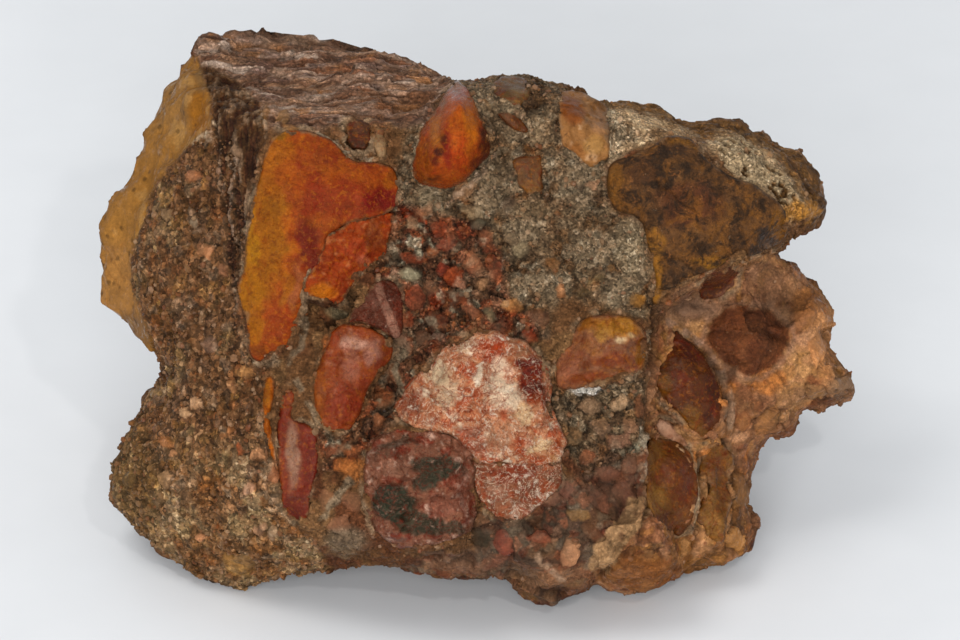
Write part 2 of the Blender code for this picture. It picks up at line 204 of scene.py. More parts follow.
def inset(spots, outline):
    """How far inside a closed outline each sheet spot lies, in millimetres; negative outside."""
    corners = np.array(outline, dtype=float)
    nearest = np.full(len(spots), 1e9)
    inside = np.zeros(len(spots), dtype=bool)
    for (x, y), (dx, dy) in zip(corners, np.roll(corners, -1, axis=0) - corners):
        nearest = np.minimum(nearest, gap_to(spots, (x, y), (dx, dy)))
        crosses = (y > spots[:, 1]) != (y + dy > spots[:, 1])
        if dy:
            inside ^= crosses & (spots[:, 0] < x + (spots[:, 1] - y) * dx / dy)
    return np.where(inside, nearest, -nearest) * UNIT


def near_line(spots, line):
    """Distance from each sheet spot to an open line, in millimetres."""
    corners = np.array(line, dtype=float)
    return np.minimum.reduce([gap_to(spots, start, step) for start, step in
                              zip(corners[:-1], np.diff(corners, axis=0))]) * UNIT


test_spots = np.random.default_rng(1).uniform(0, 50, (1000, 3))
print("cloud from", cloud(test_spots, 5).min().round(2), "to", cloud(test_spots, 5).max().round(2))

# %% [markdown]
# ## The block
#
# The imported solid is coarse, so a welded copy of it is rebuilt on an even, fine grid and its flat
# facets are smoothed away. Then the mesh is thinned out, less on the broken face, which shows the
# finest detail, than on the back.

# %% A fine copy of the block
GRID = 0.31
BODY_FACES = 555000
SMOOTHING_ROUNDS = 12


def mesh_arrays(mesh):
    """A mesh's points and point normals as arrays."""
    places = np.empty(len(mesh.vertices) * 3)
    mesh.vertices.foreach_get("co", places)
    normals = np.empty(len(mesh.vertices) * 3)
    mesh.vertices.foreach_get("normal", normals)
    return places.reshape(-1, 3), normals.reshape(-1, 3)


def with_modifiers(item):
    """The item's mesh with its modifiers applied; the item itself is removed."""
    bpy.context.view_layer.update()
    graph = bpy.context.evaluated_depsgraph_get()
    mesh = bpy.data.meshes.new_from_object(item.evaluated_get(graph))
    bpy.data.objects.remove(item, do_unlink=True)
    return mesh


def put(name, data):
    """Put a mesh, a light or a camera in the scene."""
    item = bpy.data.objects.new(name, data)
    bpy.context.scene.collection.objects.link(item)
    return item


def fine_block(solid):
    """A welded, finely and evenly meshed copy of the solid, in face millimetres."""
    copy = solid.data.copy()
    shell = bmesh.new()
    shell.from_mesh(copy)
    bmesh.ops.remove_doubles(shell, verts=shell.verts, dist=1e-6)
    shell.to_mesh(copy)
    shell.free()
    places, _ = mesh_arrays(copy)
    copy.vertices.foreach_set("co", to_face(places).ravel())
    item = put("block draft", copy)
    grid = item.modifiers.new("even grid", "REMESH")
    grid.mode = "VOXEL"
    grid.voxel_size = GRID
    smooth = item.modifiers.new("soften facets", "SMOOTH")
    smooth.factor = 0.5
    smooth.iterations = SMOOTHING_ROUNDS
    return with_modifiers(item)


def thinned(mesh, faces_wanted):
    """The mesh with fewer faces, most of them kept on the broken face."""
    item = put("block draft", mesh)
    places, normals = mesh_arrays(mesh)
    towards_eye = ease((normals[:, 2] + 0.35) / 0.7) * ease((places[:, 2] + 12.0) / 14.0)
    group = item.vertex_groups.new(name="thin here")
    for level in range(11):
        chosen = np.nonzero(np.round(towards_eye * 10) == level)[0]
        group.add(chosen.tolist(), 1.0 - 0.5 * level / 10, "REPLACE")
    count = sum(len(face.vertices) - 2 for face in mesh.polygons)
    thin = item.modifiers.new("fewer faces", "DECIMATE")
    thin.ratio = min(1.0, faces_wanted / count)
    thin.vertex_group = group.name
    thin.vertex_group_factor = 1.0
    return with_modifiers(item)


block_mesh = thinned(fine_block(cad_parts["breccia"]), BODY_FACES)
block_places, block_normals = mesh_arrays(block_mesh)
block_faces = [tuple(face.vertices) for face in block_mesh.polygons]
ground = BVHTree.FromPolygons([tuple(p) for p in block_places], block_faces)
print("block mesh:", len(block_places), "points and", len(block_faces), "faces,",
      int((block_normals[:, 2] > 0).sum()), "points towards the viewer")

# %% [markdown]
# ## Regions of the broken face
#
# The cement isn't the same all over. The left side is coarse grit. The top left is a slab of thin
# dark beds. The middle is grey, sandy cement, and below it lies dark red rubble. The upper right is
# pale and porous. On the far left a big honey-coloured stone wraps round the edge to the back. Each
# region is an outline on the sheet, with a soft, uneven border.

# %% Region outlines
REGIONS = {
    "honey": "198,58 203,78 212,100 212,124 205,131 193,140 175,162 157,181 148,208 136,240 131,262 "
        "131,285 138,306 148,330 156,352 120,365 80,350 80,50 160,45",
    "slab": "190,20 300,12 470,60 458,82 446,92 436,108 428,121 400,124 345,120 318,128 300,131 283,130 "
        "262,126 256,105 240,86 225,75 206,66 196,58",
    "dark ridge": "205,64 240,84 262,106 268,130 262,160 254,190 250,218 246,244 240,285 240,320 230,290 "
        "226,240 222,190 216,150 213,126 212,100 203,78",
    "grey": "398,160 412,130 445,88 462,78 520,72 560,86 612,110 640,140 605,165 612,212 640,225 652,262 "
        "655,305 640,318 600,308 560,300 540,335 505,300 500,262 480,225 440,215 400,205",
    "cream": "600,98 660,105 700,118 760,128 800,150 815,185 822,205 790,215 776,196 740,178 700,142 "
        "668,132 640,150 612,162",
    "crust": "596,92 650,98 700,112 740,112 770,122 812,145 840,205 815,228 806,212 806,200 796,182 "
        "780,164 764,152 748,141 733,134 716,136 704,146 694,138 680,128 650,113 625,106 600,106",
    "pale band": "718,140 742,137 760,150 776,162 792,184 800,204 785,208 760,192 736,172 720,158",
    "rubble": "395,205 440,215 485,228 505,262 512,300 545,335 520,345 480,328 450,340 415,365 400,420 "
        "372,440 345,470 322,470 318,430 345,436 366,405 392,365 404,335 402,290 378,280 390,240",
    "terrace": "781,249 765,257 735,265 705,275 690,291 664,305 655,340 648,380 646,420 643,460 647,505 "
        "640,530 618,558 596,575 590,620 900,620 900,249",
    "low middle": "480,516 540,510 560,480 600,470 645,440 643,505 600,570 560,610 500,585 440,575 380,565 "
        "470,548",
    "pocket": "552,388 575,388 603,384 645,378 645,440 620,470 585,470 566,452 563,428 550,405",
    "left grit": "212,128 236,150 248,215 246,244 237,288 247,347 262,362 264,400 272,450 280,500 300,525 "
        "320,545 330,575 230,610 100,560 90,380 150,350 131,285 136,240 157,181 193,140",
}
# Each crack is a line, its half width and its depth, both in millimetres.
CRACKS = [
    ("400,205 388,215 351,225 329,239 321,262 308,282 304,300", 0.15, 0.5),
    ("353,296 348,308 338,318 329,324", 0.7, 1.6),
    ("346,323 366,331 392,339 404,336", 0.35, 0.9),
    ("470,450 474,470 479,500 474,530", 0.45, 0.9),
    ("397,408 412,424 440,434 468,448", 0.45, 0.8),
    ("395,378 392,400 380,425 366,444", 0.7, 0.9),
    ("552,395 560,425 570,455", 0.5, 0.9),
    ("655,300 652,340 648,380 647,430", 0.45, 0.7),
    ("700,350 716,368 726,395 727,430", 0.6, 0.9),
    ("700,455 703,500 694,545", 0.5, 0.9),
    ("724,440 726,480 722,540", 0.5, 0.8),
    ("600,575 640,545 648,505", 0.5, 0.8),
]


def region(spots, outline, border, wander):
    """1 inside the outline and 0 outside, with a soft border that may wander."""
    return ease((inset(spots, outline) + wander) / border + 0.5)


block_spots = on_sheet(block_places)
block_front = ease((block_normals[:, 2] + 0.25) / 0.35) * ease((block_places[:, 2] + 14.0) / 6.0)
behind = 1.0 - block_front
wander = 0.8 * cloud(block_places, 4.0, seed=3)
share = {}
for name, outline in REGIONS.items():
    crisp = name in ("honey", "dark ridge")
    inside = region(block_spots, sheet_line(outline), 0.7 if crisp else 2.0, 0.0 if crisp else wander)
    share[name] = inside * block_front
honey_back = ease((-40.0 - block_places[:, 0] - 0.35 * np.abs(block_places[:, 1] - 14.0)) / 3.0
                  + 0.3 * cloud(block_places, 6.0, seed=8)) * ease((block_places[:, 1] + 6.0) / 2.0)
share["honey"] = np.maximum(share["honey"], honey_back * behind)
slab_back = ease((block_places[:, 1] - 30.0) / 4.0) * ease((2.0 - block_places[:, 0]) / 4.0) * behind
share["slab"] = np.maximum(share["slab"], slab_back * (1.0 - share["honey"]))
(in_honey, in_slab, in_ridge, in_grey, in_cream, in_crust, in_band, in_rubble, in_terrace, in_low,
 in_pocket, in_grit) = share.values()
for name, values in share.items():
    print(f"{name:12s} covers {values.mean() * 100:5.1f} % of the points")

# %% [markdown]
# ## Stones that are set into the block
#
# Each big stone is a closed piece of its own. Its outline is drawn on the sheet and filled with a
# fine triangle mesh, which is laid on the block along the line of sight. Then the middle is domed
# and the edge rolls down into the cement, as on a pebble that is partly uncovered. Behind it the
# stone has sides and a back, so it is closed where nobody sees it.

# %% Stone shapes
def rounded_outline(corners, spacing, wobble=0.0, seed=0):
    """A smooth closed line through the corners with even steps, in millimetres on the sheet."""
    points = np.array(corners, dtype=float)
    if len(points) < 11:
        onward = np.roll(points, -1, axis=0) - points
        points = np.stack([points + 0.14 * onward, points + 0.86 * onward], axis=1).reshape(-1, 2)
    line = []
    for k in range(len(points)):
        before, start, end, after = (points[(k + j) % len(points)] for j in (-1, 0, 1, 2))
        for t in np.linspace(0.0, 1.0, 12, endpoint=False):
            line.append(0.5 * (2 * start + (end - before) * t
                               + (2 * before - 5 * start + 4 * end - after) * t * t
                               + (3 * start - before - 3 * end + after) * t ** 3))
    line = np.array(line + [line[0]])
    run = np.concatenate([[0.0], np.cumsum(np.linalg.norm(np.diff(line, axis=0), axis=1))])
    stops = np.linspace(0.0, run[-1], max(12, int(run[-1] / spacing)), endpoint=False)
    even = np.stack([np.interp(stops, run, line[:, k]) for k in (0, 1)], axis=1)
    if wobble:
        deep = np.column_stack([even, np.full(len(even), 3.7 * seed)])
        for size, part in ((3.4, 1.0), (1.1, 0.45)):
            even += part * wobble * cloud_pair(deep, size, (seed, seed + 5))
    return even


def filled(outline, spacing):
    """Triangles that fill an outline: points, faces and how far each point is from the edge."""
    low, high = outline.min(axis=0), outline.max(axis=0)
    grid = []
    for k, row in enumerate(np.arange(low[1], high[1], spacing * 0.87)):
        across = np.arange(low[0] + (k % 2) * spacing / 2, high[0], spacing)
        grid.append(np.column_stack([across, np.full(len(across), row)]))
    grid = np.concatenate(grid)
    grid = grid[inset(grid, outline) / UNIT > spacing * 0.55]
    points = np.concatenate([outline, grid])
    ring = [(k, (k + 1) % len(outline)) for k in range(len(outline))]
    made = geometry.delaunay_2d_cdt([Vector(p) for p in points], ring, [], 1, 1e-7)
    points = np.array([tuple(p) for p in made[0]])
    return points, [tuple(face) for face in made[2]], np.maximum(inset(points, outline) / UNIT, 0.0)


def neighbour_mean(values, faces, rounds):
    """Values evened out over the mesh by averaging with the neighbours."""
    corners = np.array(faces)
    first = corners[:, [0, 1, 2]].ravel()
    second = corners[:, [1, 2, 0]].ravel()
    count = np.zeros(len(values))
    np.add.at(count, first, 1.0)
    np.add.at(count, second, 1.0)
    for _ in range(rounds):
        total = np.zeros(len(values))
        np.add.at(total, first, values[second])
        np.add.at(total, second, values[first])
        values = 0.4 * values + 0.6 * (total / np.maximum(count, 1.0))
    return values


def from_the_eye(flat):
    """The line of sight through each place of the sheet: its start and its way."""
    starts = np.tile((0.0, 0.0, EYE_AWAY), (len(flat), 1))
    ways = np.column_stack([flat, np.zeros(len(flat))]) - starts
    return starts, ways / np.linalg.norm(ways, axis=1)[:, None]


def from_outside(place, outward, turn):
    """Parallel lines onto the block at a place on its side or back, as a function like from_the_eye."""
    out = np.array(outward, dtype=float)
    out /= np.linalg.norm(out)
    side = np.cross(out, (0.3, 0.5, 0.8))
    side /= np.linalg.norm(side)
    side = side * math.cos(turn) + np.cross(out, side) * math.sin(turn)
    other = np.cross(out, side)

    def sight(flat):
        starts = place + 12.0 * out + flat[:, :1] * side + flat[:, 1:] * other
        return starts, np.tile(-out, (len(flat), 1))
    return sight


def laid_on_block(flat, faces, sight, evening):
    """Where each line of sight meets the block, evened out over the stone, and the way it goes."""
    starts, ways = sight(flat)
    hits = [ground.ray_cast(start, way) for start, way in zip(starts, ways)]
    depth = np.array([np.nan if hit[0] is None else hit[3] for hit in hits])
    missing = np.isnan(depth)
    depth[missing] = np.nanmedian(depth)
    depth = neighbour_mean(depth, faces, evening)
    return starts + ways * depth[:, None], ways, int(missing.sum())


BACK_WIDTH = 0.85


def stone_front(line, sight, facts):
    """The front of a stone in face millimetres, domed and rolled down at its edge, and the rim behind."""
    flat, faces, deep = filled(line, facts.spacing)
    surface, ways, missed = laid_on_block(flat, faces, sight, facts.evening)
    roll = np.clip(deep / facts.edge, 0.0, 1.0)
    quarter = np.sqrt(1.0 - (1.0 - roll) ** 2)
    lift = facts.rise * quarter + facts.dome * (1.0 - np.exp(-deep / (2.5 * facts.edge)))
    lift -= facts.sink * (1.0 - quarter)
    lift -= 0.75 * facts.sink * np.maximum(cloud(surface, 5.0, facts.seed + 1), 0.0) * np.exp(-deep / 0.8)
    for size, height, kind in facts.lumps:
        seed = facts.seed + int(size * 10)
        if kind == "soft":
            lift += height * cloud(surface, size, seed) * quarter
        else:
            inner, number, lean = fragments(surface, size, seed)
            lift += height * (0.7 * (number - 0.5) * inner + 0.8 * lean) * quarter
    rim = np.nonzero(deep < 1e-4)[0]
    low = surface[rim] + ways[rim] * facts.body
    low = low.mean(axis=0) + (low - low.mean(axis=0)) * BACK_WIDTH
    return flat, faces, surface - ways * lift[:, None], rim, low, missed


print("stones are made from an outline, a rise, a dome and an edge")

# %% [markdown]
# ## Colours
#
# A colour is written as the tone that the surface has in even daylight, from 0 to 255 in red, green
# and blue. Paint goes on in soft oval patches whose borders wander, as iron stains do in chert.

# %% Colours and patches
LIGHT_GAIN = 0.72
SHEEN = 0.015


def tone(colour):
    """A daylight tone as the linear colour that a material needs, less the white sheen that light adds."""
    value = np.array(colour, dtype=float) / 255.0
    linear = np.where(value <= 0.04045, value / 12.92, ((value + 0.055) / 1.055) ** 2.4)
    return np.clip((linear - SHEEN) * LIGHT_GAIN, (0.004, 0.003, 0.0015), 0.95)


def mixed(under, over, amount):
    """Lay one colour over another by an amount from 0 to 1 for each point."""
    return under + (np.asarray(over) - under) * np.asarray(amount)[:, None]


def painted(colours, spots, places, patches, wander=5.0, size=3.0, seed=0, blur=0.8):
    """Lay soft oval patches on the colours: place, half sizes, tone and strength of each."""
    moved = spots + cloud_pair(places, size, (seed + 31, seed + 47)) * wander
    for (x, y), (half_width, half_height), colour, strength in patches:
        away = np.hypot((moved[:, 0] - x) / half_width, (moved[:, 1] - y) / half_height)
        colours = mixed(colours, tone(colour), strength * ease((0.95 + blur / 2 - away) / blur))
    return colours


def blotches(colours, places, size, amount, colour, strength, seed, soft):
    """Lay a tone on about the given part of the points, in cloud shapes."""
    patch = cloud(places, size, seed, 3)
    return mixed(colours, tone(colour), strength * ease((patch - (1.0 - 2.0 * amount)) / soft))


def add_colours(mesh, colours):
    """Store the tint of each point of the mesh."""
    layer = mesh.color_attributes.new("tint", "FLOAT_COLOR", "POINT")
    full = np.column_stack([colours, np.ones(len(colours))])
    layer.data.foreach_set("color", full.astype(np.float32).ravel())


print("a mid brown needs", tone((120, 85, 60)).round(3))

# %% [markdown]
# ## Materials
#
# All surfaces read their colour from the points of the mesh and add the grain that is too fine for
# the mesh: sand-sized cells of lighter and darker colour, tiny pits and a fine bump. The smooth
# stones are waxy chert, with a soft sheen. The cement is dull, with a few grains that glint.

# %% Material helpers
def new_material(name):
    """An empty node material with its shader."""
    material = bpy.data.materials.new(name)
    material.use_nodes = True
    tree = material.node_tree
    return material, tree, tree.nodes["Principled BSDF"]


def feed(socket, value):
    """Link another node's output to an input, or set the input's own value."""
    if isinstance(value, bpy.types.NodeSocket):
        socket.id_data.links.new(value, socket)
    else:
        socket.default_value = value


def node(tree, kind, feeds=(), **settings):
    """Add a node, set its properties and feed its inputs."""
    made = tree.nodes.new(kind)
    for name, value in settings.items():
        setattr(made, name, value)
    for label, value in dict(feeds).items():
        feed(made.inputs[label], value)
    return made


def noise_at(tree, scale, detail=3.0, roughness=0.6, distortion=0.0, place=None):
    """Soft noise fixed to the object, `scale` bumps a metre."""
    place = place or node(tree, "ShaderNodeTexCoord").outputs["Object"]
    return node(tree, "ShaderNodeTexNoise", {"Vector": place, "Scale": scale, "Detail": detail,
                                             "Roughness": roughness, "Distortion": distortion}).outputs["Fac"]


def cells_at(tree, scale):
    """Cells fixed to the object, `scale` a metre: the distance to the middle, and two numbers for each."""
    place = node(tree, "ShaderNodeTexCoord").outputs["Object"]
    cell = node(tree, "ShaderNodeTexVoronoi", {"Vector": place, "Scale": scale}, feature="F1").outputs
    numbers = node(tree, "ShaderNodeSeparateColor", {"Color": cell["Color"]}).outputs
    return cell["Distance"], numbers["Red"], numbers["Green"]


def ramp(tree, source, stops):
    """Turn a number into a colour by a list of (place, colour or grey value)."""
    made = node(tree, "ShaderNodeValToRGB", {"Fac": source})
    edges = made.color_ramp.elements
    while len(edges) < len(stops):
        edges.new(0.5)
    for edge, (place, colour) in zip(edges, stops):
        edge.position = place
        edge.color = (*np.broadcast_to(colour, 3), 1.0)
    return made.outputs["Color"]


def mix_colour(tree, kind, amount, under, over):
    """Mix two colours; kind says how."""
    return node(tree, "ShaderNodeMix", {0: amount, 6: under, 7: over}, data_type="RGBA",
                blend_type=kind).outputs[2]


def shaded(tree, colour, amount, source, *stops):
    """Make a colour lighter and darker by the stops of a number."""
    return mix_colour(tree, "MULTIPLY", amount, colour, ramp(tree, source, stops))


def covered(tree, colour, amount, over):
    """Lay a daylight tone over a colour."""
    return mix_colour(tree, "MIX", amount, colour, (*tone(over), 1.0))


def stored(tree, name):
    """What the mesh stores under a name, as Color and as Fac."""
    return node(tree, "ShaderNodeAttribute", attribute_name=name).outputs


def bump(tree, shader, *layers):
    """Chain bumps of (height, strength, depth in metres) into the shader."""
    below = {}
    for height, strength, depth in layers:
        feeds = {"Height": height, "Strength": strength, "Distance": depth, **below}
        below = {"Normal": node(tree, "ShaderNodeBump", feeds).outputs["Normal"]}
    feed(shader.inputs["Normal"], below["Normal"])


def bounded(tree, source, low, high):
    """0 below one value of a number, 1 above another, straight between."""
    feeds = {"Value": source, "From Min": low, "From Max": high}
    return node(tree, "ShaderNodeMapRange", feeds).outputs["Result"]


def product(tree, first, second):
    """Two numbers multiplied."""
    return node(tree, "ShaderNodeMath", {0: first, 1: second}, operation="MULTIPLY").outputs[0]


def finish_shader(shader, colour, roughness, shine, shine_tint=(1.0, 1.0, 1.0)):
    """Set what every material here needs: colour, roughness and a weak shine with its own tint."""
    feed(shader.inputs["Base Color"], colour)
    feed(shader.inputs["Roughness"], roughness)
    feed(shader.inputs["Specular IOR Level"], shine)
    feed(shader.inputs["Specular Tint"], (*shine_tint, 1.0))


SOFT_MOTTLE = ((0.5, 1.0), (0.7, 1.4))


def waxy_stone(name, stains="", veins="", specks=(0.55, 1.5, 0.8), gloss=0.22, relief=0.5, mottle=0.5,
               dust=0.3, sheen_tint=(1.0, 0.82, 0.64)):
    """Broken chert: stored colour, stains, veins and specks too fine for the mesh, a waxy shine."""
    material, tree, shader = new_material(name)
    colour = shaded(tree, stored(tree, "tint")["Color"], mottle, noise_at(tree, 380.0, 6.0, 0.7, 0.8),
                    (0.32, 0.55), *SOFT_MOTTLE)
    for scale, low, high, over, amount in rows(stains):
        where = bounded(tree, noise_at(tree, scale, 7.0, 0.68, 0.6), low, high)
        colour = covered(tree, colour, product(tree, where, amount), over)
    for scale, width, over, amount in rows(veins):
        line = ramp(tree, noise_at(tree, scale, 4.0, 0.6, 1.2), [
            (0.5 - 2 * width, 0.0), (0.5 - width / 2, 1.0), (0.5 + width / 2, 1.0), (0.5 + 2 * width, 0.0)])
        colour = covered(tree, colour, product(tree, line, amount), over)
    dark, light, amount = specks
    colour = shaded(tree, colour, amount, noise_at(tree, 2100.0, 5.0, 0.75),
                    (0.30, dark), (0.46, 1.0), (0.56, 1.0), (0.72, light))
    powder = bounded(tree, noise_at(tree, 1300.0, 4.0, 0.7), 0.66, 0.74)
    colour = covered(tree, colour, product(tree, powder, dust), (178, 150, 120))
    dull = ramp(tree, noise_at(tree, 700.0, 4.0, 0.7), [(0.36, gloss - 0.07), (0.68, gloss + 0.35)])
    finish_shader(shader, colour, dull, 0.16, sheen_tint)
    bump(tree, shader, (noise_at(tree, 520.0, 6.0, 0.68), relief, 0.0009),
         (noise_at(tree, 2400.0, 3.0, 0.6), relief, 0.0002))
    return material


def gritty_cement(name):
    """Sandy cement: stored colour, sand grains and dark gaps, dull, with a few grains that glint."""
    material, tree, shader = new_material(name)
    grit = stored(tree, "grit")["Fac"]
    bare = stored(tree, "rough")["Fac"]
    sand_away, sand_number, sand_glint = cells_at(tree, 1250.0)
    colour = shaded(tree, stored(tree, "tint")["Color"], grit, sand_number, (0.0, 0.28), (0.25, 0.55),
                    (0.5, 0.95), (0.75, (1.45, 1.35, 1.3)), (0.92, (1.8, 1.85, 2.0)), (1.0, (2.4, 2.7, 3.1)))
    colour = shaded(tree, colour, product(tree, bare, 0.6), cells_at(tree, 2900.0)[1], (0.0, 0.35),
                    (0.3, 0.7), (0.6, 1.05), (0.85, 1.4), (1.0, (2.0, 2.1, 2.3)))
    for where, stretch in (("bedded", (0.10, 1.0, 1.0)), ("fluted", (1.0, 0.10, 0.10))):
        place = node(tree, "ShaderNodeTexCoord").outputs["Object"]
        drawn_out = node(tree, "ShaderNodeMapping", {"Vector": place, "Scale": stretch}).outputs["Vector"]
        streaks = noise_at(tree, 1500.0, 5.0, 0.7, 0.0, drawn_out)
        colour = shaded(tree, colour, stored(tree, where)["Fac"], streaks,
                        (0.30, 0.45), (0.5, 0.95), (0.72, (1.7, 1.65, 1.6)))
    colour = shaded(tree, colour, 0.8, noise_at(tree, 2300.0, 5.0, 0.75),
                    (0.30, 0.40), (0.46, 1.0), (0.56, 1.0), (0.72, 1.8))
    colour = shaded(tree, colour, 0.55, noise_at(tree, 420.0, 7.0, 0.72, 0.8), (0.3, 0.55), *SOFT_MOTTLE)
    glint = ramp(tree, sand_glint, [(0.0, 0.12), (0.10, 0.32), (0.3, 0.7)])
    finish_shader(shader, colour, glint, 0.14, (1.0, 0.88, 0.76))
    bump(tree, shader, (product(tree, sand_away, grit), 0.7, -0.0004),
         (product(tree, noise_at(tree, 900.0, 6.0, 0.75), bare), 0.9, 0.0009))
    return material


FINE_VEINS = "150 0.006 96,44,22 0.25; 420 0.008 100,40,16 0.3"
WAXY = waxy_stone("waxy_chert", "420 0.53 0.64 120,46,14 0.42; 1100 0.53 0.62 184,110,40 0.28;"
                  "1500 0.53 0.60 88,42,22 0.42", FINE_VEINS, specks=(0.48, 1.6, 0.9), mottle=0.65, dust=0.04)
FIERY = waxy_stone("fiery_chert", "420 0.53 0.64 120,46,14 0.38; 1100 0.53 0.62 184,110,40 0.32;"
                   "1500 0.53 0.60 86,36,14 0.42", FINE_VEINS, specks=(0.6, 1.5, 0.8), mottle=0.65,
                   dust=0.04, gloss=0.18, sheen_tint=(1.0, 0.6, 0.25))
DULL_STONE = waxy_stone("dull_chert", "700 0.56 0.66 70,48,38 0.6", gloss=0.34, relief=0.7)
MARBLED = waxy_stone("marbled_chert", "330 0.53 0.60 150,66,38 0.55; 520 0.56 0.64 232,214,190 0.6;"
                     "900 0.58 0.66 120,50,34 0.7", "240 0.010 128,50,30 0.7; 480 0.009 222,200,172 0.5",
                     specks=(0.38, 1.7, 1.0), gloss=0.26, relief=0.9, mottle=0.8)
SPOTTED = waxy_stone("spotted_chert", "520 0.54 0.62 92,44,34 0.55; 800 0.60 0.68 190,152,130 0.5",
                     "300 0.010 104,44,34 0.7; 520 0.010 160,120,100 0.2",
                     specks=(0.36, 1.9, 1.0), gloss=0.2, mottle=0.8, relief=1.0)
LEOPARD = waxy_stone("leopard_chert", "260 0.47 0.60 140,90,44 0.5; 340 0.48 0.60 50,42,38 0.9;"
                     "800 0.55 0.62 58,44,36 0.5; 900 0.58 0.66 150,96,56 0.5",
                     specks=(0.38, 1.8, 1.0), gloss=0.42, relief=0.9)
CEMENT = gritty_cement("gritty_cement")
print("materials:", ", ".join(m.name for m in (WAXY, FIERY, DULL_STONE, MARBLED, SPOTTED, LEOPARD, CEMENT)))

# %% [markdown]
# ## The big stones of the broken face
#
# Each stone is written down with its base tone, its outline and its paint: soft ovals with a place,
# half sizes, a tone and a strength. What follows is how it differs from a usual stone. `rise`, `dome`,
# `edge` and `sink` are millimetres and shape its front. `lumps` are its own unevenness. `film` is
# how far the cement still covers its rim.

# %% The list of stones
STONES = []
USUAL_STONE = dict(rise=0.22, dome=0.3, edge=0.45, sink=0.45, body=3.0, spacing=0.32, evening=24,
                   lumps=((7.0, 0.45, "soft"), (6.0, 0.6, "chips"), (1.6, 0.12, "soft")),
                   mottle=0.12, spots="", finish=WAXY, wobble=0.22, wander=5.0, veins=(), gain=1.0,
                   film=0.15, film_tone=(112, 86, 64), blur=0.8)


def stone(name, base, outline, patches, **own):
    """Write down one stone for later: base tone, outline, paint, and how it differs from a usual one."""
    STONES.append(SimpleNamespace(**{**USUAL_STONE, **own}, name=name, base=base, outline=sheet_line(outline),
                                  patches=rows(patches), seed=len(STONES) * 7 + 3))


stone("orange_stone", (141, 66, 28), """
    270,138 280,133 288,131 304,131 321,136 335,144 347,156 359,162 371,162 384,164 394,169 398,179
    399,195 396,206 388,213 370,218 351,223 338,230 328,237 323,249 320,261 313,271 307,280 303,294
    302,304 301,316 296,327 293,337 289,346 281,350 270,354 266,358 260,362 252,358 248,347 247,327
    245,314 240,300 237,288 240,278 244,268 246,244 251,215 255,189 262,165 266,150""", """
    262,225 25,80 146,88,12 1; 249,250 9,62 160,108,34 0.75; 278,166 22,28 148,84,10 0.95;
    248,292 14,28 154,96,14 1; 345,182 40,14 146,72,30 0.7; 346,202 46,20 128,52,22 0.9;
    382,198 18,16 108,36,14 0.9; 312,196 12,30 128,50,18 0.8; 330,170 22,8 150,76,28 0.7;
    310,248 14,28 98,32,14 0.9; 322,222 12,12 150,76,44 0.5; 297,288 7,24 150,88,60 0.7;
    256,326 12,22 154,92,16 0.95; 286,322 14,18 138,58,28 0.8; 262,353 14,8 112,62,32 0.8;
    276,137 12,7 112,80,34 0.8; 392,176 8,10 136,74,26 0.8; 286,288 6,22 156,92,44 0.85;
    286,240 5,36 156,84,26 0.6; 292,180 12,20 150,70,24 0.6""",
      dome=0.4, edge=0.5, rise=0.2, evening=60, gain=0.96, finish=FIERY,
      lumps=((9.0, 0.9, "soft"), (3.4, 0.3, "soft"), (1.5, 0.12, "soft")), blur=0.5, wander=7.0,
      spots="1.2 0.26 172,98,36 0.5; 2.4 0.3 108,40,16 0.6; 4.5 0.3 120,46,16 0.4")
stone("orange_lobe", (142, 60, 30), """
    391,211 393,220 390,235 385,256 374,262 366,268 357,278 349,290 343,300 335,305 319,300 306,297
    302,291 304,281 310,271 317,261 320,249 325,236 336,229 350,221 368,217""", """
    320,290 15,9 172,96,32 1; 355,248 14,12 158,66,46 0.8; 376,236 12,16 118,62,44 0.8;
    345,292 12,10 120,48,26 0.7; 362,262 9,6 164,92,70 0.6""",
      dome=0.2, edge=0.4, rise=0.12, evening=30, finish=FIERY,
      lumps=((6.0, 0.5, "soft"), (4.0, 1.0, "chips"), (1.8, 0.4, "chips")),
      spots="1 0.34 178,108,72 0.6; 1.6 0.3 110,44,28 0.5")
# Painted light: the pale patches at the upper left (456,86 and 441,100) are a painted highlight on that
# bevel, and the dark strip down the right side (486,140 and 480,166) is painted shade on the side turned from
# the light.
stone("drop_stone", (152, 70, 26), """
    457,81 462,84 467,89 475,102 483,121 489,137 492,151 487,159 476,169 467,178 454,186 441,189
    428,188 419,183 412,175 412,165 416,146 420,133 428,120 438,105 448,90""", """
    468,125 10,28 176,98,38 0.9; 450,115 10,24 168,82,28 0.8; 458,150 10,24 162,66,22 0.9;
    436,132 8,16 168,104,52 0.8; 424,160 9,22 136,72,16 0.95; 428,180 14,7 124,66,20 0.9;
    486,140 6,28 78,46,24 1; 480,166 10,8 92,50,26 0.9; 446,146 5,24 124,40,14 0.9;
    442,140 3,6 70,40,22 0.8; 439,152 4,6 58,36,22 0.9; 435,161 3,5 66,38,22 0.8; 434,176 7,2 78,48,22 0.8;
    454,130 8,20 164,80,32 0.7; 456,86 6,8 156,112,90 0.9; 441,100 4,12 132,104,82 0.8;
    450,178 12,7 150,74,26 0.7""",
      rise=1.0, dome=2.2, edge=1.6, sink=1.2, wander=3.4, finish=FIERY,
      lumps=((7.0, 0.7, "soft"), (6.0, 0.4, "chips"), (1.6, 0.14, "soft")), spots="1.4 0.28 128,50,20 0.45")
